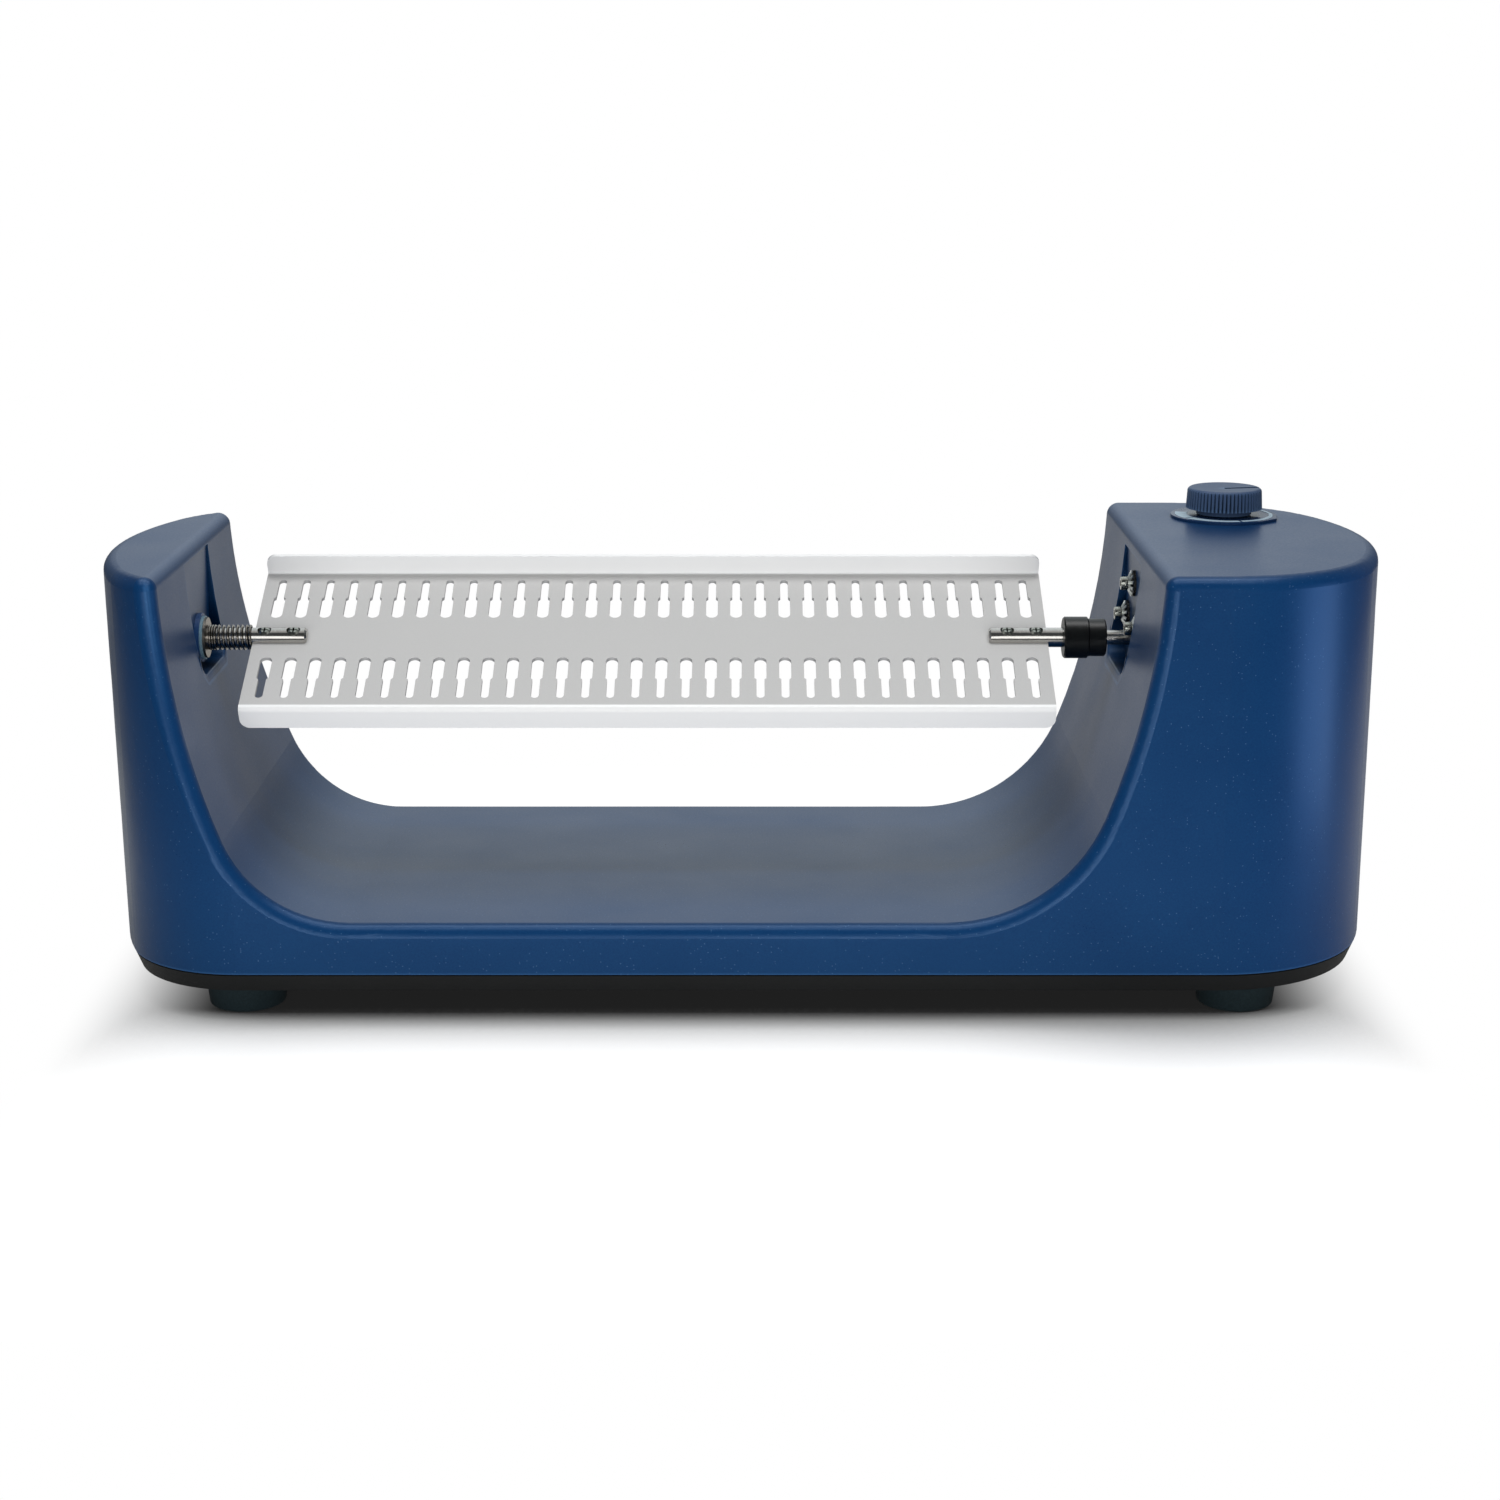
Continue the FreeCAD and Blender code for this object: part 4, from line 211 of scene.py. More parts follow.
look = {"grainShare": 0.65, "toneFrom": 0.35, "toneTo": 0.65, "glossFrom": 0.3, "glossTo": 0.7,
        "smoothest": 0.03, "relief": 0.6, "probes": 8, "hollowFrom": 0.3, "hollowTo": 0.9}
edge = {"reach": 1.5, "from": 0.45, "to": 0.85, "strength": 0.35}
speck = {"spacing": 1.3, "reach": 0.17, "share": 0.2, "strength": 0.3}
fold = {"line": 133.6, "tilt": 26.0, "from": 42.9, "to": 43.7}
# Painted shade darkens the paint in its pockets and corners.
paint = dict(base="0A325A", shade="082B52", grain=0.7, bump=0.012, roughness=0.33, ior=1.5, specular=0.35,
             tint="A5CFFF", paintedShade=(22.0, 0.25), specks="5F7FA6")
finishes = {
    # ABS, moulded and spray painted: satin navy with the fine speckle of the paint and paler edges
    "paintedAbs": dict(paint, paleEdge="3F6C9C"),
    # the same paint inside the recesses, without the paler edges
    "recessPaint": paint,
    # ABS, moulded black with a fine spark-eroded texture
    "blackAbs": dict(base="1A1B1C", shade="121314", grain=0.5, bump=0.02, roughness=0.5, specular=0.3),
    # rubber, moulded: dull, a little dusty
    "mouldedRubber": dict(base="212D31", shade="172125", grain=0.8, bump=0.03, roughness=0.7,
                          specular=0.25),
    # aluminium sheet, folded, then satin anodised: even pale grey with a soft sheen, the flanges painted
    # paler for the light they catch
    "anodisedSheet": dict(base="C1C0BF", shade="BBBAB9", grain=0.5, bump=0.008, roughness=0.5,
                          metallic=0.15, litFlangeColour="F4F4F4"),
    # stainless steel, ground bright: fine lines round the bar
    "groundSteel": dict(base="D8D5D0", shade="BDBAB5", grain=0.25, bump=0.003, roughness=0.2, metallic=1.0,
                        stretch=(1, 0.15, 0.15)),
    # spring steel, drawn wire: bright lines, with painted shade darkening the gaps between the turns
    "springSteel": dict(base="B5AFA6", shade="8D877F", grain=0.3, bump=0.002, roughness=0.2, metallic=1.0,
                        paintedShade=(1.2, 0.12)),
    # steel sheet, stamped and tumbled: warm grey, softer than the bar
    "stampedSteel": dict(base="B3ABA0", shade="958E84", grain=0.4, bump=0.006, roughness=0.36,
                         metallic=1.0),
    # zinc plated steel, slightly cloudy and faintly green, with painted shade in its corners and sockets
    "zincPlate": dict(base="C4C6BE", shade="989B92", grain=0.5, bump=0.004, roughness=0.2, metallic=1.0,
                      paintedShade=(1.6, 0.08)),
    # zinc plated steel, stamped: a brighter copy of the zinc plate, a painted highlight so that the teeth
    # catch the light
    "brightZinc": dict(base="F2F5F4", shade="D2D8D5", grain=0.4, bump=0.004, roughness=0.34, metallic=1.0),
    # steel, black oxide over a ground face
    "blackOxide": dict(base="4A4A49", shade="2E2E2E", grain=0.4, bump=0.004, roughness=0.35, metallic=0.8),
    # polyoxymethylene, turned: black, faint lathe lines
    "turnedAcetal": dict(base="121415", shade="0A0B0C", grain=0.3, bump=0.006, roughness=0.36,
                         stretch=(1, 0.1, 0.1), specular=0.45),
    # polyamide, moulded pale grey-blue, slightly waxy
    "mouldedPolyamide": dict(base="7C9BAB", shade="6A8898", grain=0.6, bump=0.008, roughness=0.42),
    # ABS, moulded through and through in dark blue, unpainted
    "mouldedBlueAbs": dict(base="2A4C7C", shade="21406E", grain=0.5, bump=0.01, roughness=0.38,
                           specular=0.4),
    # ABS, moulded in a greyer blue: a painted highlight on the crests of the ribs, and painted shade in the
    # grooves
    "knobAbs": dict(base="465A7A", shade="3A4E70", grain=0.5, bump=0.01, roughness=0.42, specular=0.25,
                    paintedShade=(2.5, 0.25), paleEdge="6787AE"),
    # polycarbonate film, printed from behind: dark blue, smooth
    "printedFilm": dict(base="16365F", shade="123058", grain=0.6, bump=0.003, roughness=0.25,
                        specular=0.45),
    # screen printing ink, pale blue, flat
    "paleInk": dict(base="B9CFDD", shade="AEC6D6", grain=0.3, bump=0.004, roughness=0.5),
    # tampon printing ink, white, flat
    "whiteInk": dict(base="E6E6E4", shade="DCDCDA", grain=0.3, bump=0.004, roughness=0.5),
    # glass fibre board with green solder mask, glossy over the tracks
    "solderMask": dict(base="1E6B3E", shade="175430", grain=0.8, bump=0.01, roughness=0.35),
    # aluminium, turned and clear anodised: fine rings
    "turnedAluminium": dict(base="C8CACC", shade="ABADAF", grain=0.3, bump=0.004, roughness=0.3,
                            metallic=1.0, stretch=(1, 0.1, 0.1)),
    # brass, drawn: warm yellow, even
    "drawnBrass": dict(base="C9A45A", shade="B08C46", grain=0.3, bump=0.003, roughness=0.3, metallic=1.0),
}
made = {name: finish(name, **finishes[name]) for name in finishes}

coats = {
    "paintedAbs": ["casing_shell"],
    "printedFilm": ["scale_dial"],
    "blackAbs": ["base_tray", "switch_housing", "switch_rocker", "power_inlet", "potentiometer",
                 "board_components"],
    "mouldedRubber": ["foot_front_left", "foot_front_right", "foot_rear_left", "foot_rear_right"],
    "anodisedSheet": ["tube_plate"],
    "groundSteel": ["tail_shaft", "drive_shaft", "motor_shaft", "drive_pin"],
    "stampedSteel": ["spring_washer"],
    "springSteel": ["release_spring"],
    "zincPlate": ["base_screws", "foot_screws", "plate_screws", "plate_nuts", "inlet_screws",
                  "board_screws", "pot_nut", "gearbox", "motor_can", "motor_screws", "motor_lock_washers"],
    "blackOxide": ["motor_flat_washers", "coupling_set_screw"],
    "turnedAcetal": ["drive_coupling"],
    "mouldedPolyamide": ["bush_ring"],
    "mouldedBlueAbs": ["tail_bush", "bush_nut"],
    "knobAbs": ["speed_knob"],
    "solderMask": ["control_board"],
    "turnedAluminium": ["pot_shaft"],
    "drawnBrass": ["inlet_pins"],
}
for name, wearers in coats.items():
    for node in wearers:
        nodes[node].data.materials.clear()
        nodes[node].data.materials.append(made[name])
print("finishes on", sum(len(wearers) for wearers in coats.values()), "of", len(nodes), "nodes")


# Pieces modelled here: each has a dictionary of what a user would change, in mm and degrees.

def alone(piece):
    bpy.ops.object.select_all(action="DESELECT")
    piece.select_set(True)
    bpy.context.view_layer.objects.active = piece
    return piece


def applied(piece, kind, **settings):
    modifier = alone(piece).modifiers.new(kind.title(), kind)
    for key, value in settings.items():
        setattr(modifier, key, value)
    bpy.ops.object.modifier_apply(modifier=modifier.name)


def placed(piece, name, place=(0, 0, 0), turn=(0, 0, 0)):
    # The place goes into the mesh, so that the object sits at the origin as the CAD nodes do.
    alone(piece)
    piece.name = piece.data.name = name
    piece.location = [value * mm for value in place]
    piece.rotation_euler = [math.radians(angle) for angle in turn]
    bpy.ops.object.transform_apply(location=True, rotation=True, scale=True)
    return piece


def twin(piece, name):
    other = piece.copy()
    other.data = piece.data.copy()
    other.name = other.data.name = name
    bpy.context.scene.collection.objects.link(other)
    return other


def editing(piece):
    alone(piece)
    bpy.ops.object.mode_set(mode="EDIT")
    bpy.ops.mesh.select_mode(type="EDGE")


def choose(piece, kind, test):
    # Selects the vertices, edges or faces whose middle, in mm, passes the test.
    mesh = bmesh.from_edit_mesh(piece.data)
    bpy.ops.mesh.select_all(action="DESELECT")
    bpy.ops.mesh.select_mode(type={"verts": "VERT", "edges": "EDGE", "faces": "FACE"}[kind])
    for item in getattr(mesh, kind):
        ends = [item] if kind == "verts" else item.verts
        middle = sum((end.co for end in ends), Vector()) / len(ends) / mm
        item.select_set(test(middle, item))
    mesh.select_flush_mode()
    bmesh.update_edit_mesh(piece.data)


def scaled(amount):
    bpy.ops.transform.resize(value=(amount, amount, 1), center_override=(0, 0, 0))


def done(piece):
    bpy.ops.mesh.select_all(action="SELECT")
    bpy.ops.mesh.normals_make_consistent(inside=False)
    bpy.ops.object.mode_set(mode="OBJECT")


def ringFrom(points, radius, inner):
    # A flat ring: a circle of edges, drawn inwards to a share of its radius.
    bpy.ops.mesh.primitive_circle_add(vertices=points, radius=radius * mm)
    ring = bpy.context.object
    editing(ring)
    bpy.ops.mesh.select_all(action="SELECT")
    bpy.ops.mesh.extrude_region_move()
    scaled(inner)
    return ring


def dressed(piece, material, body, node=None, smooth=35):
    alone(piece)
    bpy.ops.object.shade_smooth_by_angle(angle=math.radians(smooth))
    piece.data.materials.clear()
    piece.data.materials.append(made[material])
    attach(piece, body)
    if node:
        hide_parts(node)


spring = {"wire": 1.0, "radius": 4.75, "tail": -218.0, "plate": -199.6, "line": 133.6, "tailTurns": 3.0,
          "openTurns": 7.0, "plateTurns": 1.0, "sides": 12, "steps": 28, "keep": 0.64}


def releaseSpring():
    # A wire section swept round the shaft, then drawn out along it: the end turns touch, the rest are open.
    turns = spring["tailTurns"] + spring["openTurns"] + spring["plateTurns"]
    steps = round(turns * spring["steps"])
    bpy.ops.mesh.primitive_circle_add(vertices=spring["sides"], radius=spring["wire"] / 2 * mm)
    coil = bpy.context.object
    placed(coil, "spring_coil", (spring["radius"], 0, 0), (90, 0, 0))
    applied(coil, "SCREW", angle=2 * math.pi * turns, screw_offset=steps * mm, steps=steps,
            render_steps=steps, iterations=1, use_smooth_shade=False)
    closed = spring["wire"] * (spring["tailTurns"] + spring["plateTurns"])
    length = spring["plate"] - spring["tail"] - spring["wire"]
    pitch = (length - closed) / spring["openTurns"]
    for vertex in coil.data.vertices:
        step = vertex.index // spring["sides"]
        turn = step / spring["steps"]
        opened = min(max(turn - spring["tailTurns"], 0), spring["openTurns"])
        vertex.co.z += (turn * spring["wire"] + opened * (pitch - spring["wire"]) - step) * mm
    editing(coil)
    bpy.ops.mesh.select_all(action="DESELECT")
    bpy.ops.mesh.select_non_manifold()
    bpy.ops.mesh.fill_holes(sides=0)
    done(coil)
    placed(coil, "spring_coil", (spring["tail"] + spring["wire"] / 2, 0, spring["line"]), (0, 90, 0))
    dressed(coil, "springSteel", "rotor", "release_spring")
    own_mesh(coil)


# Each spot is an angle round the screw circle and the turn of the screw about itself, as tightened by hand.
motorScrews = {"seat": 160.0, "centre": 140.6, "circle": 15.5,
               "spots": {"top": (90, 156.1), "rear": (0, 187.1), "front": (180, 94.1)},
               "head": 2.7, "height": 3.0, "chamfer": 0.3, "knurls": 30, "knurl": 0.1, "socket": 1.25,
               "socketDepth": 1.5, "shank": 1.4, "length": 13.0}
starWasher = {"bore": 2.6, "root": 3.8, "tip": 5.2, "teeth": 12, "thick": 0.4, "twist": 0.16, "dish": 1.4,
              "room": 1.8}
flatWasher = {"bore": 1.6, "root": 4.9, "tip": 5.3, "teeth": 24, "thick": 1.0, "twist": 0.0, "dish": 0.0}


def toothed(sizes, name):
    # A ring extruded outwards to its teeth, dished, then thickened. Each tooth and its gap take four steps.
    steps = 4
    count = steps * sizes["teeth"]
    ring = ringFrom(count, sizes["root"], sizes["bore"] / sizes["root"])

    def stepOf(point):
        return math.atan2(point.y, point.x) % (2 * math.pi) / (2 * math.pi) * count

    def onTooth(middle, edge):
        outside = middle.length > (sizes["root"] + sizes["bore"]) / 2 and len(edge.link_faces) == 1
        return outside and int(stepOf(middle)) % steps < steps / 2

    choose(ring, "edges", onTooth)
    bpy.ops.mesh.extrude_region_move()
    scaled(sizes["tip"] / sizes["root"])
    done(ring)
    for vertex in ring.data.vertices:
        reach = math.hypot(vertex.co.x, vertex.co.y) / mm
        if reach > (sizes["root"] + sizes["tip"]) / 2:
            vertex.co.z += (1 - round(stepOf(vertex.co)) % steps) * sizes["twist"] * mm
        vertex.co.z += sizes["dish"] * (sizes["tip"] - reach) / (sizes["tip"] - sizes["bore"]) * mm
    applied(ring, "SOLIDIFY", thickness=sizes["thick"] * mm, offset=0)
    return placed(ring, name)


def capScrew():
    # A cylinder head with a chamfered rim, fine flutes, a hexagon socket cut in and the shank drawn out.
    head, height = motorScrews["head"], motorScrews["height"]
    bpy.ops.mesh.primitive_cylinder_add(vertices=2 * motorScrews["knurls"], radius=head * mm,
                                        depth=height * mm)
    screw = bpy.context.object
    editing(screw)
    choose(screw, "faces", lambda middle, face: middle.z > 0 and face.normal.z > 0.5)
    bpy.ops.mesh.bevel(offset=motorScrews["chamfer"] * mm, segments=2, affect="EDGES")
    choose(screw, "faces", lambda middle, face: middle.z < 0 and face.normal.z < -0.5)
    bpy.ops.mesh.inset(thickness=(head - motorScrews["shank"]) * mm)
    bpy.ops.mesh.extrude_region_move(TRANSFORM_OT_translate={"value": (0, 0, -motorScrews["length"] * mm)})
    done(screw)
    for vertex in screw.data.vertices:
        reach = math.hypot(vertex.co.x, vertex.co.y) / mm
        flute = round(math.atan2(vertex.co.y, vertex.co.x) / math.pi * motorScrews["knurls"])
        if reach > head - motorScrews["knurl"] / 2 and flute % 2:
            vertex.co.x *= 1 - motorScrews["knurl"] / head
            vertex.co.y *= 1 - motorScrews["knurl"] / head
    bpy.ops.mesh.primitive_cylinder_add(vertices=6, depth=2 * motorScrews["socketDepth"] * mm,
                                        radius=motorScrews["socket"] / math.cos(math.pi / 6) * mm,
                                        location=(0, 0, height / 2 * mm))
    cutter = bpy.context.object
    applied(screw, "BOOLEAN", operation="DIFFERENCE", object=cutter, solver="EXACT")
    bpy.data.objects.remove(cutter)
    return screw


def motorFasteners():
    flatFace = motorScrews["seat"] - flatWasher["thick"]
    stack = {
        "screw": (capScrew(), flatFace - starWasher["room"] - motorScrews["height"] / 2,
                  "zincPlate", "zinc_screws", "motor_screws"),
        "star_washer": (toothed(starWasher, "star"), flatFace - starWasher["thick"],
                        "brightZinc", "zinc_screws", "motor_lock_washers"),
        "flat_washer": (toothed(flatWasher, "flat"), flatFace + flatWasher["thick"] / 2,
                        "blackOxide", "black_steel", "motor_flat_washers"),
    }
    for spot, (angle, own) in motorScrews["spots"].items():
        y = motorScrews["circle"] * math.cos(math.radians(angle))
        z = motorScrews["centre"] + motorScrews["circle"] * math.sin(math.radians(angle))
        for kind, (original, x, material, slot, node) in stack.items():
            name = "motor_" + kind + "_" + spot
            piece = placed(twin(original, name), name, turn=(0, 0, own))
            placed(piece, name, (x, y, z), (0, -90, 0))
            dressed(piece, material, "base", node)
    for original, *others in stack.values():
        bpy.data.objects.remove(original)


dial = {"centre": (203.5, 48.6), "face": 176.5, "deep": 1.2, "radius": 22.15, "bore": 3.6, "tab": -30.0,
        "tabReach": 23.4, "blunt": 0.995, "rim": 0.25, "outer": 20.4, "wide": 5.2, "narrow": 0.8,
        "start": 160.0, "sweep": 230.0, "gaps": (-150.0, -78.0), "gap": 3.0, "thick": 0.06, "parts": 240}


def dialPlate():
    # A disc drawn out to a blunt point that shows where the scale is read.
    radius, reach = dial["radius"], dial["tabReach"]
    disc = ringFrom(dial["parts"], radius, dial["bore"] / radius)
    bpy.ops.object.mode_set(mode="OBJECT")
    spread = math.acos(radius / reach)
    for vertex in disc.data.vertices:
        off = abs(math.atan2(vertex.co.y, vertex.co.x) - math.radians(dial["tab"]))
        if vertex.co.length > radius / 2 * mm and off < spread:
            vertex.co *= min(1 / math.cos(spread - off), reach / radius * dial["blunt"])
    editing(disc)
    bpy.ops.mesh.select_all(action="SELECT")
    bpy.ops.mesh.extrude_region_move(TRANSFORM_OT_translate={"value": (0, 0, dial["deep"] * mm)})
    nearTop = 0.9 * dial["deep"]
    choose(disc, "edges", lambda middle, edge: middle.z > nearTop and middle.length > radius - 1)
    bpy.ops.mesh.bevel(offset=dial["rim"] * mm, segments=2, affect="EDGES")
    done(disc)
    placed(disc, "dial_plate", (*dial["centre"], dial["face"] - dial["deep"]))
    dressed(disc, "printedFilm", "base", "scale_dial")


def scaleRing():
    # A printed band round the knob, wide on the left and tapering round the front, with two gaps.
    inner = 0.9
    ring = ringFrom(dial["parts"], dial["outer"], inner)
    bpy.ops.object.mode_set(mode="OBJECT")

    def along(point):
        return (math.degrees(math.atan2(point.y, point.x)) - dial["start"]) % 360

    for vertex in ring.data.vertices:
        if vertex.co.length < (1 + inner) / 2 * dial["outer"] * mm:
            share = min(along(vertex.co) / dial["sweep"], 1)
            width = dial["wide"] + (dial["narrow"] - dial["wide"]) * share
            vertex.co *= (dial["outer"] - width) / (inner * dial["outer"])
    editing(ring)

    def unprinted(middle, face):
        place = along(middle)
        inGap = any(abs(place - (gap - dial["start"]) % 360) < dial["gap"] / 2 for gap in dial["gaps"])
        return place > dial["sweep"] or inGap

    choose(ring, "faces", unprinted)
    bpy.ops.mesh.delete(type="FACE")
    done(ring)
    applied(ring, "SOLIDIFY", thickness=dial["thick"] * mm, offset=0)
    placed(ring, "scale_ring", (*dial["centre"], dial["face"] + dial["thick"] / 2))
    dressed(ring, "paleInk", "base")


# straightTo and roundTo are the shares of the half width that make the flat floor and the round corner.
sills = {"bottom": 119.0, "side": 24.5, "chamfer": 5.0, "floor": 122.0, "round": 8.5, "sunk": 1.0,
         "edge": 0.7, "columns": 96, "straightTo": 0.4, "roundTo": 0.95, "recess": 0.03, "bedded": 0.5,
         "beside": 2.0, "heights": (119.0, 124.0, 168.0), "near": 0.01,
         "seats": {"drive": (160.0, 1), "tail": (-222.0, -1)}}


def towerSill(end):
    # The lip under each shaft seat: a band between the seat's chamfered bottom and a floor with round
    # corners, drawn out from the seat to the sloping wall, with a soft front edge.
    seat, inward = sills["seats"][end]
    straight = sills["side"] - sills["round"]

    def rim(y):
        out = min(max(abs(y) - straight, 0), sills["round"])
        return sills["floor"] + sills["round"] - math.sqrt(sills["round"] ** 2 - out ** 2)

    def onWall(z):
        # The sloping wall is found on the casing, just beside the seat.
        start = Vector((0, sills["side"] + sills["beside"], z)) * mm
        return z, nodes["casing_shell"].ray_cast(start, Vector((inward, 0, 0)))[1].x / mm

    profile = [onWall(z) for z in sills["heights"]]

    def wall(z):
        # Straight between the heights, and on below the lowest one.
        for (z0, x0), (z1, x1) in zip(profile, profile[1:]):
            if z <= z1:
                break
        return x0 + (x1 - x0) * (z - z0) / (z1 - z0)

    bpy.ops.mesh.primitive_grid_add(x_subdivisions=sills["columns"], y_subdivisions=1, size=2 * mm)
    band = bpy.context.object
    editing(band)
    bpy.ops.mesh.select_all(action="SELECT")
    bpy.ops.mesh.extrude_region_move(TRANSFORM_OT_translate={"value": (0, 0, mm)})
    bpy.ops.object.mode_set(mode="OBJECT")
    for vertex in band.data.vertices:
        across, upper, front = vertex.co.x / mm, vertex.co.y > 0, vertex.co.z > mm / 2
        share = abs(across) - sills["straightTo"]
        turn = min(max(share, 0) / (sills["roundTo"] - sills["straightTo"]), 1) * math.pi / 2
        y = min(abs(across) / sills["straightTo"], 1) * straight + math.sin(turn) * sills["round"]
        y += max(abs(across) - sills["roundTo"], 0) / (1 - sills["roundTo"]) * sills["sunk"]
        low = sills["bottom"] - sills["sunk"] + max(y - sills["side"] + sills["chamfer"], 0)
        z = rim(y) if upper else low
        x = wall(z) + sills["recess"] * inward if front else seat + sills["bedded"] * inward
        vertex.co = Vector((x, math.copysign(y, across), z)) * mm
    editing(band)

    def onLip(corner):
        x, y, z = corner.co / mm
        inside = abs(y) < sills["side"] + sills["near"] and abs(x - seat) > 1
        return inside and abs(z - rim(y)) < sills["near"]

    choose(band, "edges", lambda middle, edge: all(onLip(corner) for corner in edge.verts))
    bpy.ops.mesh.bevel(offset=sills["edge"] * mm, segments=3, affect="EDGES")
    done(band)
    placed(band, end + "_seat_lip")
    dressed(band, "recessPaint", "base")


marks = {"on": ("I", (255.33, 0.0, 79.2), 16.0), "off": ("O", (254.0, 0.0, 70.9), 2.0), "size": 4.2,
         "lift": 0.04}


def rockerMarks():
    for name in ("on", "off"):
        letter, place, tilt = marks[name]
        bpy.ops.object.text_add()
        mark = bpy.context.object
        mark.data.body = letter
        mark.data.align_x, mark.data.align_y = "CENTER", "CENTER"
        mark.data.size, mark.data.extrude = marks["size"] * mm, marks["lift"] * mm
        alone(mark)
        bpy.ops.object.convert(target="MESH")
        placed(mark, "mark_" + name, turn=(0, 0, 90))
        placed(mark, "mark_" + name, place, (0, 90 - tilt, 0))
        dressed(mark, "whiteInk", "rocker")


releaseSpring()
motorFasteners()
dialPlate()
scaleRing()
towerSill("drive")
towerSill("tail")
rockerMarks()
print("spring, motor screws with washers, dial with its scale, seat lips and rocker marks are made")


# Floor, light and camera, in metres.

table = {"front": -0.36, "back": 1.7, "width": 1.5, "paper": "F8F6F2", "lift": 0.6,
         "shadowReach": 0.085, "shadowFrom": 0.3, "shadowTo": 1.0, "darkest": 0.02, "probes": 16,
         "fadeFrom": 0.2, "fadeTo": 0.265, "behindFrom": 0.12, "behindTo": 0.3,
         "cardFrom": -0.4, "cardTo": -0.5, "cardLevel": 0.5, "glowFrom": 0.45, "glowTo": 0.85, "glow": 0.3}


def shownSheet(tree, across, away):
    # What the camera sees: white, with a painted shadow over the real one that is darker close to the
    # object, and pure white at the sides and behind.
    near = addNode(tree, "ShaderNodeAmbientOcclusion",
                   {"Distance": table["shadowReach"], "samples": table["probes"]}).outputs["AO"]
    depth = addNode(tree, "ShaderNodeMapRange",
                    {"From Min": table["shadowFrom"], "From Max": table["shadowTo"],
                     "To Min": table["darkest"], "To Max": 1.0}, {"Value": near}).outputs[0]
    aside = addNode(tree, "ShaderNodeMath", {"operation": "ABSOLUTE"}, {0: across}).outputs[0]
    beside = addNode(tree, "ShaderNodeMapRange",
                     {"interpolation_type": "SMOOTHSTEP", "From Min": table["fadeFrom"],
                      "From Max": table["fadeTo"]}, {"Value": aside}).outputs[0]
    behind = addNode(tree, "ShaderNodeMapRange",
                     {"From Min": table["behindFrom"], "From Max": table["behindTo"]},
                     {"Value": away}).outputs[0]
    faded = addNode(tree, "ShaderNodeMath", {"operation": "MAXIMUM"}, {0: beside, 1: behind}).outputs[0]
    depth = addNode(tree, "ShaderNodeMath", {"operation": "MAXIMUM"}, {0: depth, 1: faded}).outputs[0]
    kept = addNode(tree, "ShaderNodeMath", {"operation": "SUBTRACT", 0: 1.0, "use_clamp": True},
                   {1: faded}).outputs[0]
    grey = addNode(tree, "ShaderNodeMath", {"operation": "MULTIPLY"}, {0: depth, 1: kept}).outputs[0]
    pale = addNode(tree, "ShaderNodeMapRange", {"To Min": table["lift"], "To Max": 1.0},
                   {"Value": faded}).outputs[0]
    level = addNode(tree, "ShaderNodeMath", {"operation": "MULTIPLY"}, {0: depth, 1: pale}).outputs[0]
    shade = addNode(tree, "ShaderNodeBsdfDiffuse", {}, {"Color": grey}).outputs[0]
    lift = addNode(tree, "ShaderNodeEmission", {"Color": (1, 1, 1, 1)}, {"Strength": level}).outputs[0]
    return addNode(tree, "ShaderNodeAddShader", {}, {0: shade, 1: lift}).outputs[0]


def mirroredSheet(tree, across, away):
    # What light and reflections meet: paper that rises into the lit backdrop, and a dark card at the left
    # that only reflections see.
    card = addNode(tree, "ShaderNodeMapRange",
                   {"From Min": table["cardTo"], "From Max": table["cardFrom"], "To Min": table["cardLevel"],
                    "To Max": 1.0}, {"Value": across}).outputs[0]
    mirrored = addNode(tree, "ShaderNodeLightPath", {}).outputs["Is Glossy Ray"]
    unseen = addNode(tree, "ShaderNodeMath", {"operation": "SUBTRACT", 0: 1.0}, {1: mirrored}).outputs[0]
    seenCard = addNode(tree, "ShaderNodeMath", {"operation": "MAXIMUM"}, {0: card, 1: unseen}).outputs[0]
    sheet = addNode(tree, "ShaderNodeMix", {"data_type": "RGBA", "blend_type": "MULTIPLY", 0: 1.0,
                                            6: colour(table["paper"])}, {7: seenCard}).outputs[2]
    glow = addNode(tree, "ShaderNodeMapRange", {"From Min": table["glowFrom"], "From Max": table["glowTo"],
                                                "To Min": 0.0, "To Max": table["glow"]},
                   {"Value": away}).outputs[0]
    paper = addNode(tree, "ShaderNodeBsdfDiffuse", {}, {"Color": sheet}).outputs[0]
    lit = addNode(tree, "ShaderNodeEmission", {}, {"Strength": glow}).outputs[0]
    return addNode(tree, "ShaderNodeAddShader", {}, {0: paper, 1: lit}).outputs[0]


def stage():
    bpy.ops.mesh.primitive_plane_add(size=1, location=(0, (table["front"] + table["back"]) / 2, 0))
    floor = alone(bpy.context.object)
    floor.scale = (table["width"], table["back"] - table["front"], 1)
    bpy.ops.object.transform_apply(location=True, rotation=True, scale=True)
    floor.name = floor.data.name = "floor"
    material, tree, place = newMaterial("whiteTable")
    spot = addNode(tree, "ShaderNodeSeparateXYZ", {}, {0: place})
    across, away = spot.outputs["X"], spot.outputs["Y"]
    seen = addNode(tree, "ShaderNodeLightPath", {}).outputs["Is Camera Ray"]
    surface(tree, addNode(tree, "ShaderNodeMixShader", {}, {0: seen, 1: mirroredSheet(tree, across, away),
                                                            2: shownSheet(tree, across, away)}))
    floor.data.materials.append(material)


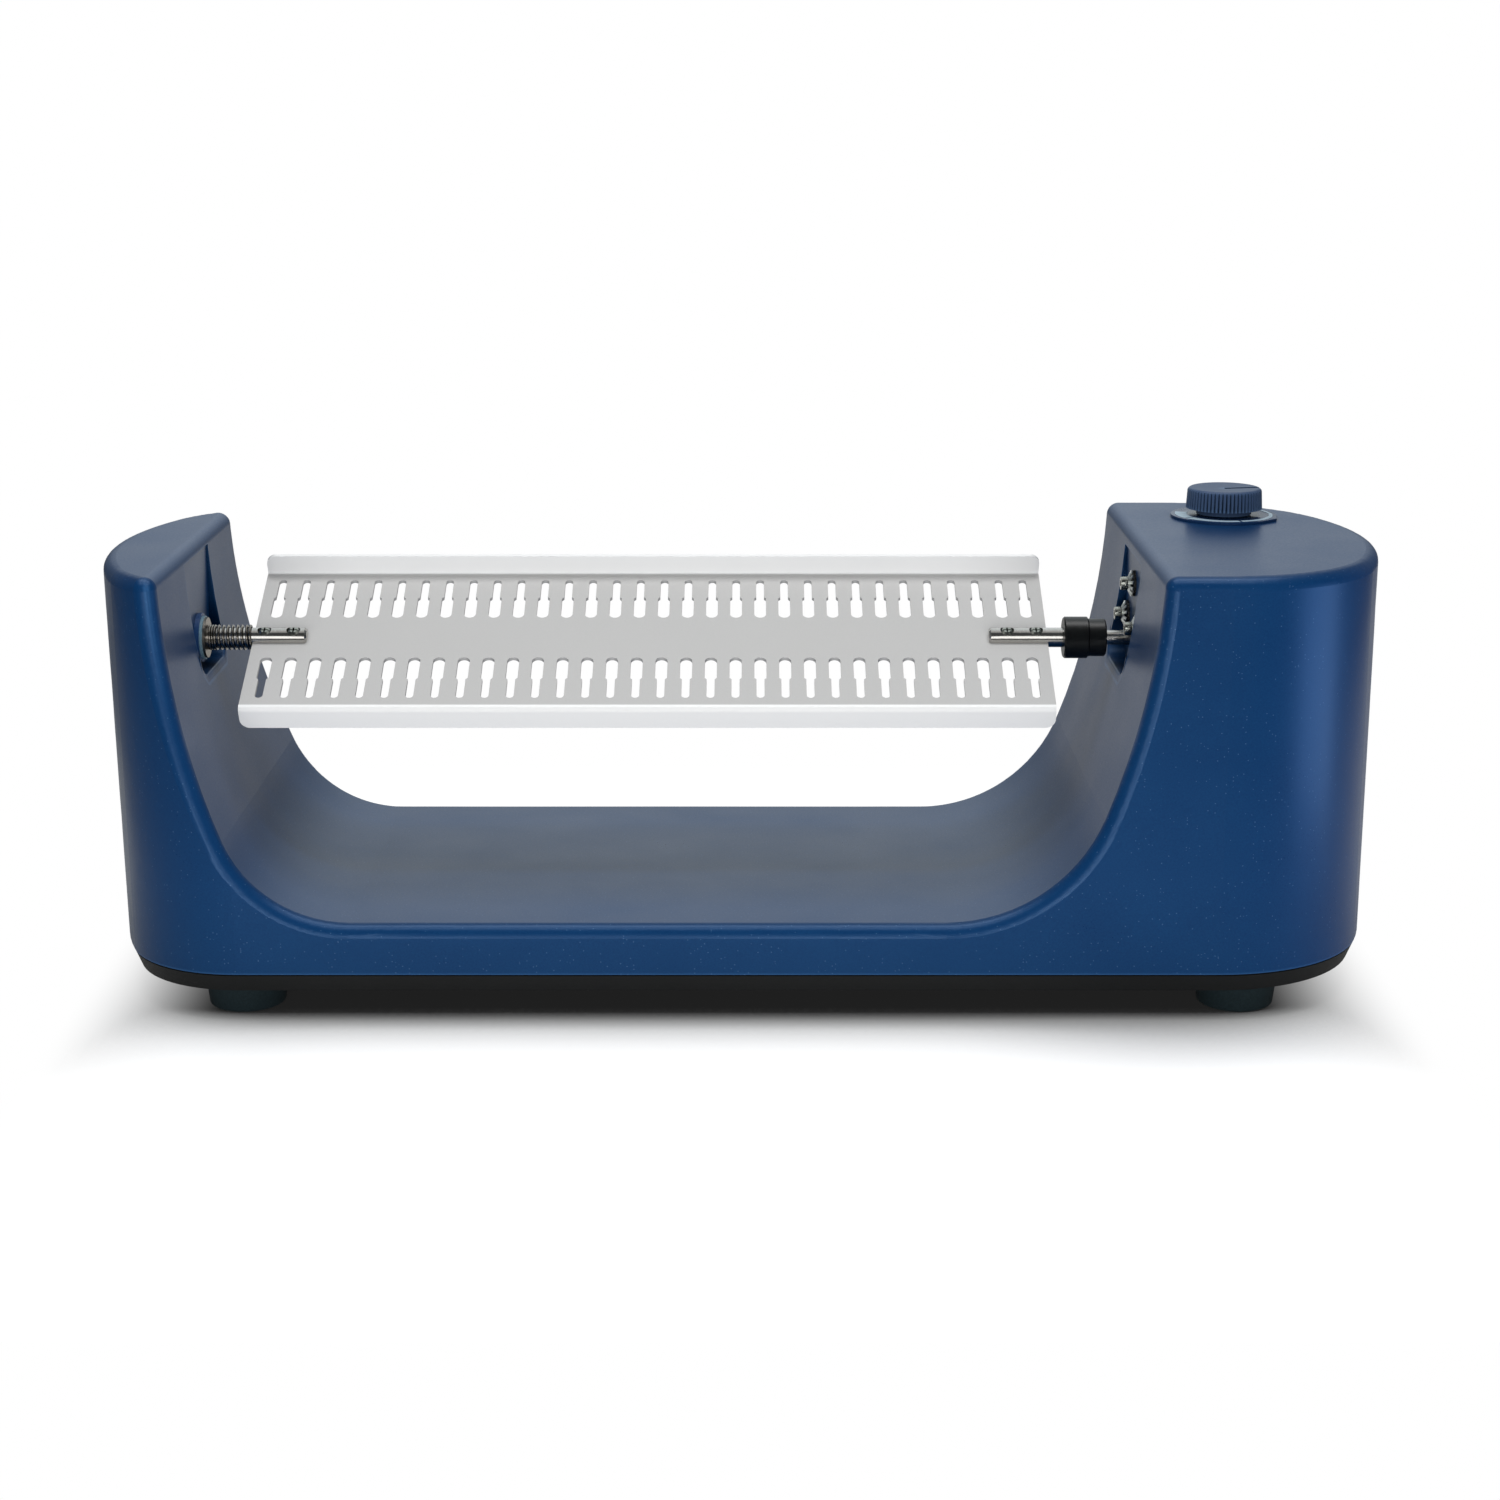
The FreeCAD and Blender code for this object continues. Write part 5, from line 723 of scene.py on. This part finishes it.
# What metal and gloss see of the room: a lit backdrop behind, fading to its sides and towards the floor.
backdrop = {
    "tint": "F2FBFF",
    "dark": 0.06,
    "fill": 0.15,
    "depth": {"From Min": -0.1, "From Max": 0.5, "To Min": 0.0, "To Max": 1.0},
    "side": {"From Min": 0.12, "From Max": 0.5, "To Min": 1.0, "To Max": 0.15},
    "height": {"From Min": -0.1, "From Max": 0.25, "To Min": 0.25, "To Max": 0.95},
}


def sky():
    world = bpy.data.worlds.new("studio")
    bpy.context.scene.world = world
    world.use_nodes = True
    tree = world.node_tree
    tree.nodes.clear()
    path = addNode(tree, "ShaderNodeLightPath", {})
    heading = addNode(tree, "ShaderNodeTexCoord", {}).outputs["Generated"]
    way = addNode(tree, "ShaderNodeSeparateXYZ", {}, {0: heading})
    side = addNode(tree, "ShaderNodeMath", {"operation": "ABSOLUTE"}, {0: way.outputs["X"]}).outputs[0]
    room = None
    for name, source in (("depth", way.outputs["Y"]), ("side", side), ("height", way.outputs["Z"])):
        part = addNode(tree, "ShaderNodeMapRange", backdrop[name], {"Value": source}).outputs[0]
        if room is not None:
            part = addNode(tree, "ShaderNodeMath", {"operation": "MULTIPLY"}, {0: room, 1: part}).outputs[0]
        room = part
    room = addNode(tree, "ShaderNodeMath", {"operation": "ADD", 1: backdrop["dark"]}, {0: room}).outputs[0]
    through = addNode(tree, "ShaderNodeMath", {"operation": "MAXIMUM"},
                      {0: path.outputs["Is Camera Ray"], 1: path.outputs["Is Transmission Ray"]}).outputs[0]
    mirrored = addNode(tree, "ShaderNodeMath", {"operation": "MULTIPLY"},
                       {0: path.outputs["Is Glossy Ray"], 1: room}).outputs[0]
    fill = addNode(tree, "ShaderNodeMath", {"operation": "MULTIPLY", 1: backdrop["fill"]},
                   {0: path.outputs["Is Diffuse Ray"]}).outputs[0]
    shown = addNode(tree, "ShaderNodeMath", {"operation": "MAXIMUM"}, {0: through, 1: mirrored}).outputs[0]
    level = addNode(tree, "ShaderNodeMath", {"operation": "MAXIMUM"}, {0: shown, 1: fill}).outputs[0]
    air = addNode(tree, "ShaderNodeMix", {"data_type": "RGBA", 6: colour(backdrop["tint"]), 7: (1, 1, 1, 1)},
                  {0: through}).outputs[2]
    light = addNode(tree, "ShaderNodeBackground", {}, {"Color": air, "Strength": level})
    addNode(tree, "ShaderNodeOutputWorld", {}, {"Surface": light.outputs[0]})


# name: place, aim, width, height, power, seen in gloss, what alone it lights, its tint
softboxes = {
    "frontBox": ((0, -1.6, 0.15), (0, 0, 0.08), 2.0, 0.8, 21.0, False),
    "topBox": ((0, 0.1, 1.4), (0, 0, 0), 1.4, 0.5, 10.3, True, "notMetal"),
    "steelTop": ((0, -0.1, 1.4), (0, 0, 0), 1.6, 0.8, 1.6, True, "metal"),
    "steelFront": ((0, -1.3, 0.36), (0, 0, 0.13), 2.2, 0.5, 6.5, True, "metal"),
    "steelSide": ((-1.1, -0.5, 0.35), (0.15, 0, 0.14), 0.5, 0.5, 3.0, True, "metal"),
    "plateBox": ((0, -1.5, 0.0), (0, 0, 0.13), 2.0, 0.4, 3.8, False, "plate"),
    "rimTop": ((0, -0.45, 1.3), (0, 0, 0.1), 1.4, 0.15, 5.0, True, "paint"),
    "rimLine": ((0.04, -0.62, 0.02), (0.04, 0, 0.1), 0.025, 0.14, 0.45, True, "paint"),
    "rimLineTail": ((-0.2, -0.67, 0.02), (-0.2, 0, 0.1), 0.025, 0.14, 0.45, True, "paint"),
    "rightStrip": ((0.5, -0.15, 0.06), (0.23, -0.07, 0.1), 0.18, 0.2, 0.5, True, "paint", "B0D2FF"),
}
# Paint, plate and bare metal have softboxes of their own, as each gets in a studio with cards and flags.
litAlone = {"paintedAbs": "paint", "recessPaint": "paint", "anodisedSheet": "plate"}
bareMetal = 0.7


def receivers():
    groups = {name: bpy.data.collections.new(name) for name in ("metal", "paint", "notMetal", "plate")}
    finishOf = {made[name]: name for name in made}
    for piece in bpy.context.scene.objects:
        if piece.type == "MESH":
            name = finishOf.get(piece.data.materials[0])
            bright = name and finishes[name].get("metallic", 0) > bareMetal
            groups["metal" if bright else "notMetal"].objects.link(piece)
            if name in litAlone:
                groups[litAlone[name]].objects.link(piece)
    return groups


def softbox(name, place, aim, width, height, power, shiny, only=None, tint="FFFFFF"):
    data = bpy.data.lights.new(name, "AREA")
    data.shape = "RECTANGLE"
    data.size, data.size_y, data.energy, data.color = width, height, power, colour(tint)[:3]
    lamp = bpy.data.objects.new(name, data)
    bpy.context.scene.collection.objects.link(lamp)
    lamp.visible_glossy = shiny
    if only:
        lamp.light_linking.receiver_collection = groups[only]
    lamp.location = place
    lamp.rotation_euler = (Vector(aim) - Vector(place)).to_track_quat("-Z", "Y").to_euler()


view = {"place": (0.00346, -1.081, 0.3632), "down": 14.38, "lens": 64.8, "sensor": 36.0,
        "near": 0.01, "far": 60.0}


def camera():
    data = bpy.data.cameras.new("camera")
    data.lens, data.sensor_width = view["lens"], view["sensor"]
    data.clip_start, data.clip_end = view["near"], view["far"]
    eye = bpy.data.objects.new("camera", data)
    bpy.context.scene.collection.objects.link(eye)
    eye.location = view["place"]
    eye.rotation_euler = (math.radians(90 - view["down"]), 0, 0)
    bpy.context.scene.camera = eye


bpy.context.scene.view_settings.view_transform = "Standard"
stage()
sky()
groups = receivers()
for name, box in softboxes.items():
    softbox(name, *box)
camera()
print("stage, light and camera are set")
